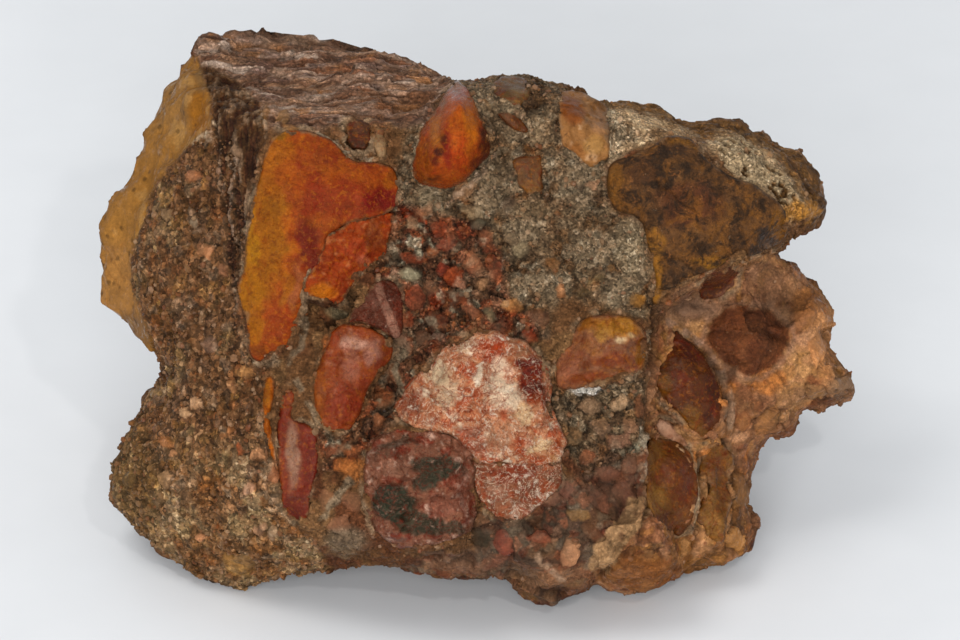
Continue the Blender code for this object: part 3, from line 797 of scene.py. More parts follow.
stone("spotted_wing_stone", (94, 66, 46), """
    608,169 614,162 627,156 643,151 656,143 668,136 684,137 697,144 705,156 720,169 736,178 755,186
    774,198 784,210 787,226 784,239 774,247 752,255 729,263 710,270 694,278 678,286 665,297 659,305
    651,302 656,284 654,265 648,246 643,226 633,217 624,214 614,207 609,194 607,181""", """
    654,282 9,24 150,100,42 0.9; 655,250 8,26 146,98,46 0.8; 712,262 22,7 144,98,38 0.9;
    781,228 9,18 138,90,40 0.9; 690,205 34,22 92,56,42 0.7; 616,185 8,24 112,76,42 0.8;
    760,205 20,12 84,60,42 0.6; 690,141 20,4 128,86,44 0.9; 735,240 30,10 88,62,44 0.6;
    645,172 20,12 84,58,44 0.7""",
      edge=0.5, rise=0.5, evening=40, finish=LEOPARD, blur=0.6,
      lumps=((7.0, 0.7, "soft"), (7.0, 0.5, "chips"), (2.0, 0.25, "soft")),
      spots="2.6 0.42 58,46,40 0.75; 1.6 0.3 126,86,52 0.5")
# The pale pink patches at the tongue's top (355,342 and 374,352) are a painted highlight: the glare on its
# waxy top.
stone("red_tongue", (128, 62, 38), """
    342,324 359,326 374,331 386,339 392,349 391,360 382,370 372,383 366,393 363,407 357,420 347,432
    335,432 322,426 315,412 313,393 314,376 320,362 326,347 332,333""", """
    355,342 12,9 182,134,112 0.9; 374,352 12,14 158,108,90 0.8; 350,364 9,16 156,98,78 0.6;
    362,384 8,12 116,54,40 0.7; 322,392 8,28 134,72,34 0.8; 345,402 14,20 124,52,34 0.8;
    336,424 12,8 140,62,34 0.7; 335,336 7,9 140,62,34 0.8; 384,362 6,8 110,52,40 0.7""",
      dome=0.5, edge=0.8, rise=0.3, evening=40, wander=7.0,
      spots="1.2 0.3 166,104,78 0.55; 1.8 0.3 104,44,28 0.5")
stone("dark_red_wedge", (88, 50, 40), """
    347,322 353,310 362,300 368,290 378,282 392,281 402,292 404,310 404,328 398,338 388,336 375,328
    360,323""", """
    366,304 12,10 108,68,56 0.9; 380,322 14,9 84,48,40 0.7; 396,306 8,22 104,50,40 0.8;
    384,296 10,10 94,52,44 0.7""",
      edge=0.4, rise=0.2, finish=SPOTTED, gain=0.86,
      veins=(("378,286 384,303 391,320 396,336", 0.7, (160, 112, 92)),))
stone("white_core_stone", (116, 50, 36), """
    293,418 304,422 314,428 318,440 319,457 316,476 312,496 310,515 302,523 291,519 283,509 280,492
    279,476 277,455 276,434 278,416 281,402 284,391 291,388 296,394 295,405 292,412""", """
    293,455 7,34 154,116,94 0.85; 280,480 4,44 130,62,38 0.8; 298,505 12,14 106,48,40 0.8;
    288,400 7,12 134,62,36 0.9; 311,460 6,34 108,44,34 0.7""",
      edge=0.5, rise=0.12, wander=2.5, gain=0.88)
stone("orange_sliver", (142, 76, 34), """
    265,380 272,376 277,385 275,400 272,418 274,440 278,455 279,470 274,468 268,450 264,430 263,405""", """
    276,430 3,44 156,132,104 0.8; 266,395 4,16 130,82,34 0.7""",
      dome=0.5, edge=0.7, rise=0.4, wander=1.5, gain=1.3, finish=FIERY)
stone("marbled_stone", (172, 116, 84), """
    480,330 499,329 514,336 530,343 544,364 550,383 551,405 563,428 567,448 556,462 531,466 505,464
    480,465 470,454 456,439 440,434 420,429 400,421 396,405 406,386 420,373 438,354 455,341""", """
    504,392 20,16 204,176,146 0.9; 440,374 14,12 190,164,130 0.9; 448,392 10,14 188,158,126 0.8;
    522,414 12,16 192,156,116 0.9; 538,446 14,14 188,154,114 0.9; 462,346 16,7 176,148,118 0.8;
    478,374 9,9 206,180,152 0.9; 502,366 10,8 204,172,144 0.8; 466,372 8,12 152,66,40 0.8;
    488,347 20,9 150,62,40 0.8; 494,356 12,6 146,54,36 0.7; 450,346 9,7 150,84,56 0.7;
    412,402 12,14 126,68,50 0.9; 428,360 8,6 110,44,34 0.8; 430,416 12,8 140,86,64 0.7;
    478,412 22,10 170,100,68 0.7; 470,438 16,14 152,86,66 0.8; 500,440 16,12 164,112,84 0.7;
    530,374 12,24 98,44,34 1; 540,392 9,12 88,44,34 0.9; 552,462 10,6 136,92,52 0.7;
    520,345 14,6 150,100,72 0.7""",
      dome=0.5, edge=0.6, rise=0.2, finish=MARBLED, evening=12, wander=7.0, mottle=0.16, wobble=0.4,
      lumps=((6.0, 0.6, "soft"), (6.5, 1.5, "chips"), (3.0, 0.7, "chips"), (1.6, 0.16, "soft")), gain=1.14,
      blur=0.6, film=0.5, film_tone=(128, 92, 70),
      spots="2.6 0.36 150,62,40 0.75; 1.6 0.34 214,188,158 0.7; 3.4 0.3 160,84,54 0.6")
# Besides its own dark spots, the two dark strips along its upper left edge (402,442 and 386,452) are a
# painted shadow.
stone("spotted_stone", (124, 80, 62), """
    370,443 384,435 400,431 420,432 440,432 456,436 470,446 476,462 476,480 477,505 472,530 455,540
    430,546 405,548 385,540 370,522 365,497 362,480 365,460""", """
    440,466 28,13 62,60,50 1; 426,482 13,10 62,60,50 0.95; 396,504 25,19 54,55,46 1;
    420,522 24,10 58,57,47 0.95; 450,530 24,6 66,58,48 0.9; 402,442 20,5 74,62,52 0.8;
    386,452 13,7 82,60,48 0.7; 445,505 20,14 132,80,64 0.7; 398,470 14,10 140,96,76 0.7;
    462,485 8,20 110,60,48 0.6""",
      dome=0.4, edge=0.6, rise=0.2, finish=SPOTTED, evening=16, wander=8.0, mottle=0.2, wobble=0.4,
      blur=0.3, film=0.4, film_tone=(96, 66, 52),
      lumps=((6.0, 0.6, "soft"), (6.0, 1.3, "chips"), (3.0, 0.6, "chips"), (1.5, 0.12, "soft")),
      spots="1.3 0.32 196,156,134 0.8; 1.8 0.36 118,46,34 0.75; 0.8 0.3 172,120,98 0.5")
stone("pink_stone", (140, 88, 64), """
    473,463 490,461 505,461 531,462 548,461 560,467 562,482 552,496 540,508 524,518 505,522 488,514
    477,494""", """
    508,474 28,8 132,60,42 0.9; 496,494 14,9 164,116,92 0.8; 528,492 12,12 128,78,60 0.7;
    550,476 12,8 124,84,64 0.8""",
      edge=0.4, rise=0.12, finish=MARBLED, wobble=0.4, gain=0.86, film=0.3, film_tone=(104, 74, 58),
      lumps=((5.0, 0.5, "soft"), (3.0, 0.6, "chips")), spots="1.4 0.32 182,136,112 0.6")
# The two small white spots (620,341 and 628,337) are painted glints.
stone("ochre_stone", (130, 86, 62), """
    558,388 556,375 557,362 564,350 570,343 576,327 588,316 600,313 616,314 633,319 645,334 646,351
    643,369 628,375 601,381 582,385""", """
    614,328 28,11 154,104,46 1; 588,324 12,7 136,84,40 0.8; 620,341 5,3 206,176,134 0.9;
    628,337 4,2 190,156,110 0.8; 604,336 8,4 176,126,62 0.7; 570,366 12,20 146,90,66 0.9;
    610,362 24,9 112,56,32 0.95; 642,352 5,16 144,92,40 0.9; 590,348 12,6 140,90,54 0.7;
    590,378 24,5 136,66,38 0.7""",
      dome=0.4, edge=0.6, rise=0.4, lumps=((5.0, 0.4, "soft"), (4.4, 1.0, "chips"), (1.8, 0.4, "chips")),
      wobble=0.45, spots="1.1 0.28 184,128,74 0.5; 1.5 0.3 92,52,32 0.55")
stone("leaf_stone", (92, 56, 32), """
    674,330 684,336 695,347 706,360 714,374 720,390 722,406 721,421 716,433 708,440 699,438 690,430
    683,420 676,411 667,405 659,398 653,388 651,376 656,368 664,362 668,348""", """
    665,382 10,12 116,76,38 0.8; 712,392 7,34 76,48,38 0.9; 690,350 12,14 80,46,28 0.8;
    692,420 14,12 122,82,42 0.95; 704,432 8,7 128,88,50 0.8; 684,392 10,14 98,54,28 0.7""",
      dome=0.9, edge=0.5, rise=0.1, sink=0.2, wobble=0.4, lumps=((7.0, 0.5, "soft"), (5.0, 0.6, "chips")),
      gain=0.82, film=0.0, blur=0.6, spots="1.6 0.3 70,38,24 0.6")
stone("pink_sliver", (150, 110, 86), """
    655,424 660,418 668,421 677,429 686,438 688,446 680,448 668,441 657,433""", """
    664,426 7,5 162,126,102 0.7; 680,443 6,4 120,76,50 0.7""",
      edge=0.4, rise=0.5, gain=1.3, wander=2.0, film=0.0, finish=DULL_STONE, spots="1 0.3 120,76,56 0.6")
stone("lower_brown_stone", (98, 62, 38), """
    648,436 660,436 674,441 686,450 692,461 697,476 698,492 695,510 688,526 678,535 667,529 655,521
    646,508 643,490 642,470 644,450""", """
    654,455 11,18 116,80,44 0.9; 686,482 9,26 98,56,38 0.9; 655,500 13,15 138,98,52 0.9;
    682,516 10,12 124,78,46 0.8; 668,470 10,14 94,56,34 0.7""",
      dome=0.9, edge=0.5, rise=0.1, sink=0.2,
      lumps=((6.0, 0.5, "soft"), (5.0, 0.9, "chips"), (2.0, 0.2, "soft")), gain=0.98, wander=3.5, film=0.1,
      film_tone=(112, 84, 60), wobble=0.4, spots="1.4 0.28 74,44,32 0.5")
stone("long_facet_stone", (118, 82, 48), """
    703,458 712,445 724,446 730,462 732,492 728,516 724,538 712,548 704,534 700,508 705,488""", """
    714,466 9,16 104,66,44 0.8; 722,500 8,20 96,64,42 0.8; 710,500 5,20 136,98,56 0.7;
    714,528 9,14 142,102,58 0.8""",
      dome=0.5, edge=0.4, rise=0.08, sink=0.2,
      lumps=((6.0, 0.6, "soft"), (4.5, 1.5, "chips"), (2.2, 0.4, "chips")), film=0.4,
      film_tone=(124, 94, 70), wobble=0.9, spots="1.2 0.34 84,54,36 0.6")
# Its gain of 1.3 is painted light: it lightens this stone, which lies in the shade under the wing.
stone("maroon_stone", (74, 50, 42), """
    697,290 704,277 715,268 730,264 738,270 735,288 722,297 705,300""", """
    720,276 12,6 94,60,48 0.7""",
      dome=0.5, edge=0.5, rise=0.1, sink=0.2, gain=1.3, film=0.3, wobble=0.5, film_tone=(110, 78, 62),
      spots="1.2 0.3 112,66,48 0.5")
stone("rough_stone", (136, 94, 58), """
    560,93 575,90 590,95 603,105 608,120 611,140 610,156 600,162 590,168 578,160 563,147 560,128
    557,108""", """
    572,112 12,16 118,66,38 0.9; 595,148 12,12 152,112,66 0.8; 574,150 10,8 132,82,46 0.7;
    598,122 9,12 150,110,78 0.7""",
      edge=0.4, rise=0.2, finish=DULL_STONE, wobble=0.35, gain=1.2, film=0.5,
      lumps=((2.6, 0.8, "chips"), (1.2, 0.3, "soft")), spots="1.5 0.3 178,140,104 0.6")
stone("square_stone", (98, 68, 46), """
    511,161 520,157 541,156 543,172 543,191 527,194 520,186 516,174""", """
    530,188 12,7 118,82,48 0.8; 524,164 12,5 96,66,48 0.7; 528,178 5,3 76,58,48 0.8""",
      edge=0.5, rise=0.6, lumps=((3.0, 0.4, "chips"),))
stone("glassy_stone", (100, 76, 48), """
    492,84 500,77 515,75 526,79 531,90 529,101 520,108 508,106 498,101 492,92""", """
    503,88 7,8 84,58,34 0.8; 516,92 7,8 120,96,66 0.7; 528,96 4,8 60,48,36 0.7""",
      dome=0.4, edge=0.5, rise=0.3)
stone("long_brown_stone", (90, 60, 44), """
    497,112 512,113 524,120 530,129 528,134 519,133 508,128 500,120""", """
    505,117 6,4 118,84,60 0.7; 522,127 6,5 98,62,36 0.7""",
      dome=0.4, edge=0.5, rise=0.5)
stone("block_under_slab", (70, 48, 38), """
    345,122 358,119 371,124 372,140 366,150 352,150 345,138""", """
    358,126 8,5 92,62,48 0.7""",
      edge=0.5, rise=0.9)
stone("tan_block", (128, 102, 74), """
    374,127 386,128 388,142 386,158 376,159 372,146""", """
    380,134 6,5 96,74,54 0.7; 381,150 4,8 146,118,88 0.7""",
      edge=0.5, rise=0.8)
print(len(STONES), "big stones written down")

# %% [markdown]
# ## Small stones
#
# Between the big stones sit dozens of small ones, most of them 2 to 5 mm long. Each is written as a
# place, half length and half width, turn in degrees and tone. Its outline is an uneven many-sided
# shape, because small stones in a breccia are splinters, not pebbles.

# %% The list of small stones
SMALL = rows("""
    470,211 13,7 5 128,112,88; 466,190 14,8 -35 134,98,70; 508,204 10,8 70 56,46,42;
    553,265 9,7 80 104,72,46; 584,293 8,5 0 74,62,44; 612,266 6,4 0 92,66,42; 560,290 10,6 75 146,94,58;
    594,279 11,4 -20 96,82,58; 637,300 10,9 30 132,92,44; 580,188 5,4 0 70,56,48; 592,186 7,5 0 146,108,82;
    426,210 14,8 -40 120,88,66; 412,222 8,7 20 126,108,84; 438,228 10,9 50 104,48,36;
    478,225 8,6 -20 76,76,64; 487,240 12,8 60 100,64,48; 412,258 16,7 5 108,50,34; 432,252 8,6 0 128,76,50;
    448,244 10,7 -30 104,46,34; 410,274 11,7 10 124,116,92; 446,270 12,8 0 112,46,38;
    474,264 14,12 40 140,92,66; 455,276 12,10 60 140,64,40; 461,282 8,6 30 164,116,92;
    482,284 6,7 0 126,90,50; 466,291 9,4 -30 146,134,112; 415,300 14,12 70 110,54,40;
    406,320 12,9 60 104,52,38; 430,288 9,8 0 92,70,56; 455,300 16,9 0 70,44,36; 470,311 12,8 40 120,76,56;
    490,315 7,8 0 104,96,74; 512,306 12,8 10 148,104,62; 500,326 11,8 0 84,58,48; 538,318 12,9 10 82,48,38;
    531,336 9,5 30 116,54,38; 520,250 9,10 0 122,110,86; 510,240 8,8 20 112,96,76; 495,268 8,16 0 78,50,42;
    436,318 10,12 0 76,54,44; 424,338 12,9 30 80,56,46; 440,336 7,5 0 110,84,74; 405,340 12,8 60 118,78,62;
    396,376 12,9 60 92,62,46; 415,388 12,10 40 120,58,42; 426,388 5,7 0 150,116,104;
    384,398 9,12 30 100,70,50; 378,420 10,8 0 112,70,48; 350,448 12,9 20 98,62,44;
    344,466 13,9 -10 138,86,50; 332,450 9,8 0 104,60,44; 326,500 8,14 10 112,80,60;
    340,525 14,10 0 120,86,66; 350,500 12,10 40 104,74,58; 621,403 9,10 -20 168,138,106;
    592,406 14,9 10 134,108,84; 588,458 10,7 10 136,76,50; 630,425 12,9 20 120,88,68;
    640,405 6,12 0 112,72,50; 618,440 14,9 -10 110,78,64; 598,428 12,9 30 96,76,62;
    574,435 8,12 0 92,76,58; 606,472 12,9 0 100,66,54; 632,462 10,12 20 96,68,54;
    577,515 12,9 10 120,92,60; 538,536 17,10 25 112,62,48; 570,553 11,14 10 172,126,92;
    504,545 11,14 -20 114,58,48; 480,539 12,8 -10 44,44,38; 550,500 12,10 0 104,72,58;
    600,500 14,11 10 88,62,52; 565,490 10,8 0 98,66,56; 622,490 12,10 0 84,58,48; 590,530 12,9 30 92,66,50;
    548,480 9,7 0 130,92,76; 556,474 8,5 10 140,106,84; 741,490 8,26 0 112,82,54;
    736,541 11,13 0 190,136,76; 668,434 14,9 20 134,106,80; 820,350 13,22 5 176,122,78;
    806,318 12,16 20 128,88,58; 842,385 13,10 20 108,84,64; 815,392 12,9 10 126,96,66;
    770,420 16,10 -20 122,88,58; 742,420 12,12 0 116,76,52; 690,312 12,7 20 118,86,68;
    724,430 12,10 30 118,82,52; 196,402 9,8 20 176,140,106; 184,412 7,6 0 170,138,104;
    194,176 8,7 0 140,92,64; 236,152 5,9 -30 150,122,96; 166,214 7,8 10 136,112,84;
    192,222 7,5 20 132,118,98; 204,250 9,7 60 140,98,70; 222,270 8,5 40 146,104,78;
    165,442 8,7 0 150,98,60; 164,480 8,10 -40 146,116,86; 156,505 6,8 20 70,62,50;
    172,452 6,5 0 168,120,84; 248,488 7,6 0 176,136,108; 200,538 5,5 0 190,136,98;
    258,530 7,8 0 150,116,92; 272,533 7,8 20 140,118,96; 238,566 18,13 10 138,104,58;
    258,456 8,7 0 156,112,80; 240,450 4,7 0 150,72,40; 128,480 8,12 10 96,76,44; 232,386 7,8 0 144,104,72;
    244,372 12,8 10 136,98,62; 210,345 10,8 0 104,84,72; 275,475 7,12 0 132,82,58;
    150,390 10,7 30 128,104,70; 290,128 10,5 10 130,92,52; 338,134 8,7 20 110,78,56;
    283,117 7,8 0 128,98,62; 266,112 4,10 0 124,88,48""")


def splinter(x, y, half_length, half_width, turn, seed):
    """An uneven outline with 5 to 7 corners."""
    chance = np.random.default_rng(seed)
    corners = chance.integers(5, 8)
    angles = (np.arange(corners) + chance.uniform(-0.36, 0.36, corners)) * 2 * math.pi / corners
    reach = chance.uniform(0.8, 1.25, corners)
    a, b = half_length * np.cos(angles) * reach, half_width * np.sin(angles) * reach
    c, s = math.cos(math.radians(turn)), math.sin(math.radians(turn))
    return [(x + c * p - s * q, y + s * p + c * q) for p, q in zip(a, b)]


print(len(SMALL), "small stones written down")

# %% [markdown]
# ## Stones on the sides and the back
#
# Nobody has seen the back of this block, so its stones are made up in the same style: splinters of
# honey, orange, dark red and brown, spread evenly over everything that the viewer can't see.

# %% Places for the hidden stones
HIDDEN_TONES = [(140, 96, 50), (136, 62, 30), (92, 56, 42), (120, 58, 40), (150, 112, 84),
                (104, 72, 46), (84, 56, 44), (144, 86, 36)]
HIDDEN_SIZES = (2.2, 2.8, 3.6, 5.0, 6.5)
HIDDEN_WANTED = 75
LOWEST_HIDDEN = 0.004
STONE_GAP = 1.15


def hidden_from_eye(point):
    """True when the block stands between the viewer and a point."""
    start = np.array((0.0, 0.0, EYE_AWAY))
    away = np.linalg.norm(point - start)
    hit = ground.ray_cast(start, (point - start) / away)
    return hit[0] is not None and hit[3] < away - 2.0


def rim_round(place, normal, reach):
    """A dozen points in a ring round a place, a little above the block."""
    side = np.cross(normal, (0.3, 0.5, 0.8))
    side /= np.linalg.norm(side)
    other = np.cross(normal, side)
    return [place + reach * (math.cos(a) * side + math.sin(a) * other) + 1.5 * normal
            for a in np.linspace(0.0, 6.28, 12, endpoint=False)]


def hidden_places():
    """Evenly spread points on the sides, the back and the underside, with a size for each."""
    taken = []
    for index in np.random.default_rng(77).permutation(len(block_places)):
        place, normal = block_places[index], block_normals[index]
        if (normal[2] > -0.5 or to_world(place[None])[0][2] < LOWEST_HIDDEN or in_honey[index] > 0.1
                or in_slab[index] > 0.1):
            continue
        size = HIDDEN_SIZES[len(taken) % len(HIDDEN_SIZES)]
        if not all(hidden_from_eye(point) for point in rim_round(place, normal, 1.4 * size)):
            continue
        if all(np.linalg.norm(place - other) >= (size + reach) * STONE_GAP for other, _, reach in taken):
            taken.append((place, normal, size))
        if len(taken) == HIDDEN_WANTED:
            break
    return taken


HIDDEN_STONES = hidden_places()
print(len(HIDDEN_STONES), "hidden stones placed")

# %% [markdown]
# ## Laying the stones
#
# Now every stone is made. The painted colour gets mottles and spots, and the piece goes into the
# scene. The block keeps a list of where the stones are, so that the cement can be cut back under
# them and drawn up in a thin collar around each.

# %% Make the stones
def place_stone(name, places, faces, colours, finish):
    """Put a finished stone into the scene as a piece."""
    mesh = bpy.data.meshes.new(name)
    above = to_world(places)
    above[:, 2] = np.maximum(above[:, 2], 0.0)
    mesh.from_pydata([tuple(p) for p in above], [], faces)
    shell = bmesh.new()
    shell.from_mesh(mesh)
    bmesh.ops.recalc_face_normals(shell, faces=shell.faces)
    shell.to_mesh(mesh)
    shell.free()
    mesh.shade_smooth()
    add_colours(mesh, colours)
    mesh.materials.append(finish)
    return put(name, mesh)


def stone_colours(facts, line, flat, top, spots):
    """The painted front of a stone: spots, patches, veins, mottles and a film of cement at the rim."""
    colours = np.tile(tone(facts.base), (len(top), 1))
    for size, amount, colour, strength in rows(facts.spots):
        colours = blotches(colours, top, size, amount, colour, strength, facts.seed + int(size * 100), 0.35)
    colours = painted(colours, spots, top, facts.patches, facts.wander, 2.6, facts.seed, facts.blur)
    for vein, width, colour in facts.veins:
        away = near_line(spots + cloud(top, 2.0, 9)[:, None] * 1.5, sheet_line(vein))
        colours = mixed(colours, tone(colour), ease((width - away) / 0.3 + 0.5) * 0.85)
    mottles = cloud(top, 1.3, facts.seed + 2, 3) + 0.8 * cloud(top, 4.5, facts.seed + 3)
    colours *= 1.0 + facts.mottle * mottles[:, None]
    colours *= facts.gain
    deep = inset(flat, line) / UNIT
    film = ease((facts.film - deep + 0.9 * cloud(top, 2.2, facts.seed + 9)) / 0.4)
    return np.clip(mixed(colours, 1.3 * tone(facts.film_tone), 0.75 * film), 0.004, 0.95)


def closed_stone(outline, sight, facts, spot_of):
    """Build, paint and place one stone; spot_of turns flat millimetres into sheet places."""
    line = rounded_outline(outline, facts.spacing, facts.wobble, facts.seed)
    flat, faces, top, rim, low, missed = stone_front(line, sight, facts)
    order = np.argsort([np.argmin(np.hypot(*(line - flat[r]).T)) for r in rim])
    ring = list(zip(rim[order].tolist(), (len(top) + order).tolist()))
    centre = len(top) + len(low)
    steps = list(zip(ring, ring[1:] + ring[:1]))
    sides = [(a, b, low_b, low_a) for (a, low_a), (b, low_b) in steps]
    back = [(low_a, low_b, centre) for (a, low_a), (b, low_b) in steps]
    colours = stone_colours(facts, line, flat, top, spot_of(flat))
    colours = np.concatenate([colours, np.tile(colours.mean(axis=0), (len(low) + 1, 1))])
    places = np.concatenate([top, low, low.mean(axis=0)[None]])
    if missed:
        print(facts.name, "hangs over the edge at", missed, "points")
    return place_stone(facts.name, places, faces + sides + back, colours, facts.finish)


def made_up_stone(number, place, normal, size):
    """A stone of the sides or the back, with a tone and two patches of its own."""
    chance = np.random.default_rng(900 + number)
    colour = HIDDEN_TONES[number % len(HIDDEN_TONES)]
    darker, lighter = (tuple(int(c * part) for c in colour) for part in (0.7, 1.25))
    patches = [((size * chance.uniform(-0.5, 0.5), size * up), (size * wide, size * 0.5), shade, 0.8)
               for up, wide, shade in ((0.4, 0.7, darker), (-0.4, 0.6, lighter))]
    facts = SimpleNamespace(**{
        **USUAL_STONE, "name": f"hidden_stone_{number:02d}", "base": colour, "rise": 0.2 + 0.03 * size,
        "dome": 0.08 * size, "edge": 0.5, "sink": 0.5, "body": 2.2, "spacing": 0.45, "evening": 14,
        "lumps": ((4.0, 0.4, "soft"), (3.6, 0.9, "chips"), (1.6, 0.15, "soft")), "patches": patches,
        "spots": "1.8 0.25 {},{},{} 0.5".format(*darker), "finish": WAXY if number % 2 else DULL_STONE,
        "wobble": 0.25, "wander": 1.0, "gain": 1.2, "film": 0.5, "film_tone": (104, 74, 54),
        "seed": number * 5 + 1})
    outline = splinter(0.0, 0.0, size, size * chance.uniform(0.6, 0.9), 0.0, number + 300)
    sight = from_outside(place, normal, chance.uniform(0, 6.28))
    return closed_stone(outline, sight, facts, lambda flat: flat)


FLAT_STEP = np.array((UNIT, -UNIT))
pieces = [closed_stone((np.array(facts.outline) - SHEET_MIDDLE) * FLAT_STEP, from_the_eye, facts,
                       lambda flat: flat / FLAT_STEP + SHEET_MIDDLE) for facts in STONES]
pieces += [made_up_stone(number, *where) for number, where in enumerate(HIDDEN_STONES)]
print(len(pieces), "stones,", sum(len(p.data.polygons) for p in pieces), "faces")

# %% [markdown]
# ## Cutting and roughening the cement
#
# The block itself now becomes the cement. Under each stone it is cut back by about a millimetre.
# Round each stone it rises in a thin collar. Everywhere else each region gets its own roughness:
# rounded grains on the left, thin beds on the slab, fine sand in the middle, sharp rubble below
# it, pits in the pale band, and big chips on the back.

# %% Shape the cement
def only(where, work):
    """Work out a value for the points where it is needed, and leave 0 elsewhere."""
    values = np.zeros(len(block_places))
    chosen = where > 0.01
    values[chosen] = work(block_places[chosen])
    return values


def points_near(low, high):
    """The points of the broken face between two corners of the sheet."""
    return np.nonzero(((block_spots > low) & (block_spots < high)).all(axis=1) & (block_front > 0.3))[0]


under_stone = np.zeros(len(block_places))
collar = np.zeros(len(block_places))
ragged = 0.40 * cloud(block_places, 2.4, 71) + 0.22 * cloud(block_places, 0.9, 72)
for facts in STONES:
    line = np.array(facts.outline)
    near = points_near(line.min(axis=0) - 16, line.max(axis=0) + 16)
    deep = inset(block_spots[near], line)
    under_stone[near] = np.maximum(under_stone[near], ease((deep + ragged[near] - 0.45) / 0.3))
    collar[near] = np.maximum(collar[near], np.exp(-((deep + 0.3) / 0.6) ** 2))
for place, normal, size in HIDDEN_STONES:
    away = block_places - place
    height = away @ normal
    flat_away = np.sqrt(np.maximum((away ** 2).sum(axis=1) - height ** 2, 0.0))
    inside = ease((size * 0.72 - flat_away) / 1.2 + 0.5) * (np.abs(height) < 4.0)
    under_stone = np.maximum(under_stone, inside)
print("stones cover", (under_stone.mean() * 100).round(1), "% of the cement")

# %% Small stones in the cement
chip_share = np.zeros(len(block_places))
chip_lift = np.zeros(len(block_places))
chip_tone = np.zeros((len(block_places), 3))
unsteady = block_spots + 2.2 * cloud_pair(block_places, 1.5, (73, 74))
for number, ((x, y), (half_length, half_width), turn, colour) in enumerate(SMALL):
    chance = np.random.default_rng(number + 500)
    middle = np.array((x, y))
    reach = half_length * 1.5 + 4
    near = points_near(middle - reach, middle + reach)
    deep = inset(unsteady[near], splinter(x, y, half_length, half_width, turn, number))
    inside = ease(deep / 0.35 + 0.4)
    away = (block_spots[near] - middle) * UNIT
    slopes = [away @ chance.uniform(-0.30, 0.30, 2) + chance.uniform(0.0, 0.25) for _ in range(3)]
    lift = 0.22 + np.clip(np.minimum.reduce(slopes), -0.8, 0.8)
    chip_lift[near] = np.where(inside > 0.02, lift * inside, chip_lift[near])
    chip_lift[near] -= 0.35 * np.exp(-(deep / 0.22) ** 2)
    shade = 1.0 + 0.5 * (slopes[0] - slopes[1]) + 0.15 * cloud(block_places[near], 1.6, number)
    painted_chip = tone(colour) * (1.03, 0.95, 0.90) * np.clip(shade, 0.6, 1.4)[:, None]
    chip_tone[near] = np.where((inside > 0.02)[:, None], painted_chip, chip_tone[near])
    chip_share[near] = np.maximum(chip_share[near], inside)
chip_share *= 1.0 - under_stone
print(len(SMALL), "small stones cover", (chip_share.mean() * 100).round(1), "%")

# %% Roughness of each region
calm = 1.0 - in_honey
grains, _, grain_number, _ = cells(block_places * (1.0, 0.68, 0.85), 1.4, 21)
round_grains = ease(1.0 - grains / 0.66) * (0.4 + 0.9 * grain_number)
fine_grains = 1.0 - np.clip(cells(block_places, 0.8, 22)[0] / 0.7, 0.0, 1.0)
large, large_number, large_lean = fragments(block_places, 8.0, 23)
mid, mid_number, mid_lean = fragments(block_places, 4.4, 24)
small, small_number, small_lean = fragments(block_places, 2.2, 25)
tiny, tiny_number, tiny_lean = fragments(block_places, 1.1, 27)
chips = 0.8 * (large_number - 0.5) * large + 0.9 * large_lean
rubble = 0.6 * (mid_number - 0.5) * mid + 0.95 * mid_lean - 0.12 * (1.0 - mid)
crumbs = 0.6 * (small_number - 0.5) * small + 0.85 * small_lean - 0.16 * (1.0 - small)
crumblets = 0.5 * (tiny_number - 0.5) * tiny + 0.65 * tiny_lean - 0.18 * (1.0 - tiny)
bed_lines = only(in_slab, lambda at: cloud(at * (0.10, 1.0, 1.0), 0.9, 25, 3)
                 + 0.5 * cloud(at * (0.14, 1.0, 1.0), 2.6, 26))
laths, lath_number, lath_lean = fragments(block_places * (0.32, 1.0, 1.0), 1.7, 38)
upright_lines = only(in_ridge + in_grit, lambda at: cloud(at * (1.0, 0.14, 0.7), 0.7, 27, 3)
                     + 0.6 * cloud(at * (1.0, 0.3, 1.0), 1.8, 19))
pits = only(in_band + in_cream,
            lambda at: ease((0.40 + 0.25 * cloud(at, 3.0, 39) - cells(at, 1.5, 28)[0]) / 0.16))
dimples = only(in_honey, lambda at: ease((0.30 - cells(at, 3.4, 31)[0]) / 0.1))
soft_lumps = cloud(block_places, 3.2, 29)
smooth_grey = ease(0.2 + 1.8 * cloud(block_places, 5.0, 18)) * in_grey
sandy_back = ease(0.5 + 1.5 * cloud(block_places, 16.0, 76)) * behind
unnamed = ease(1.0 - sum(share.values())) * block_front

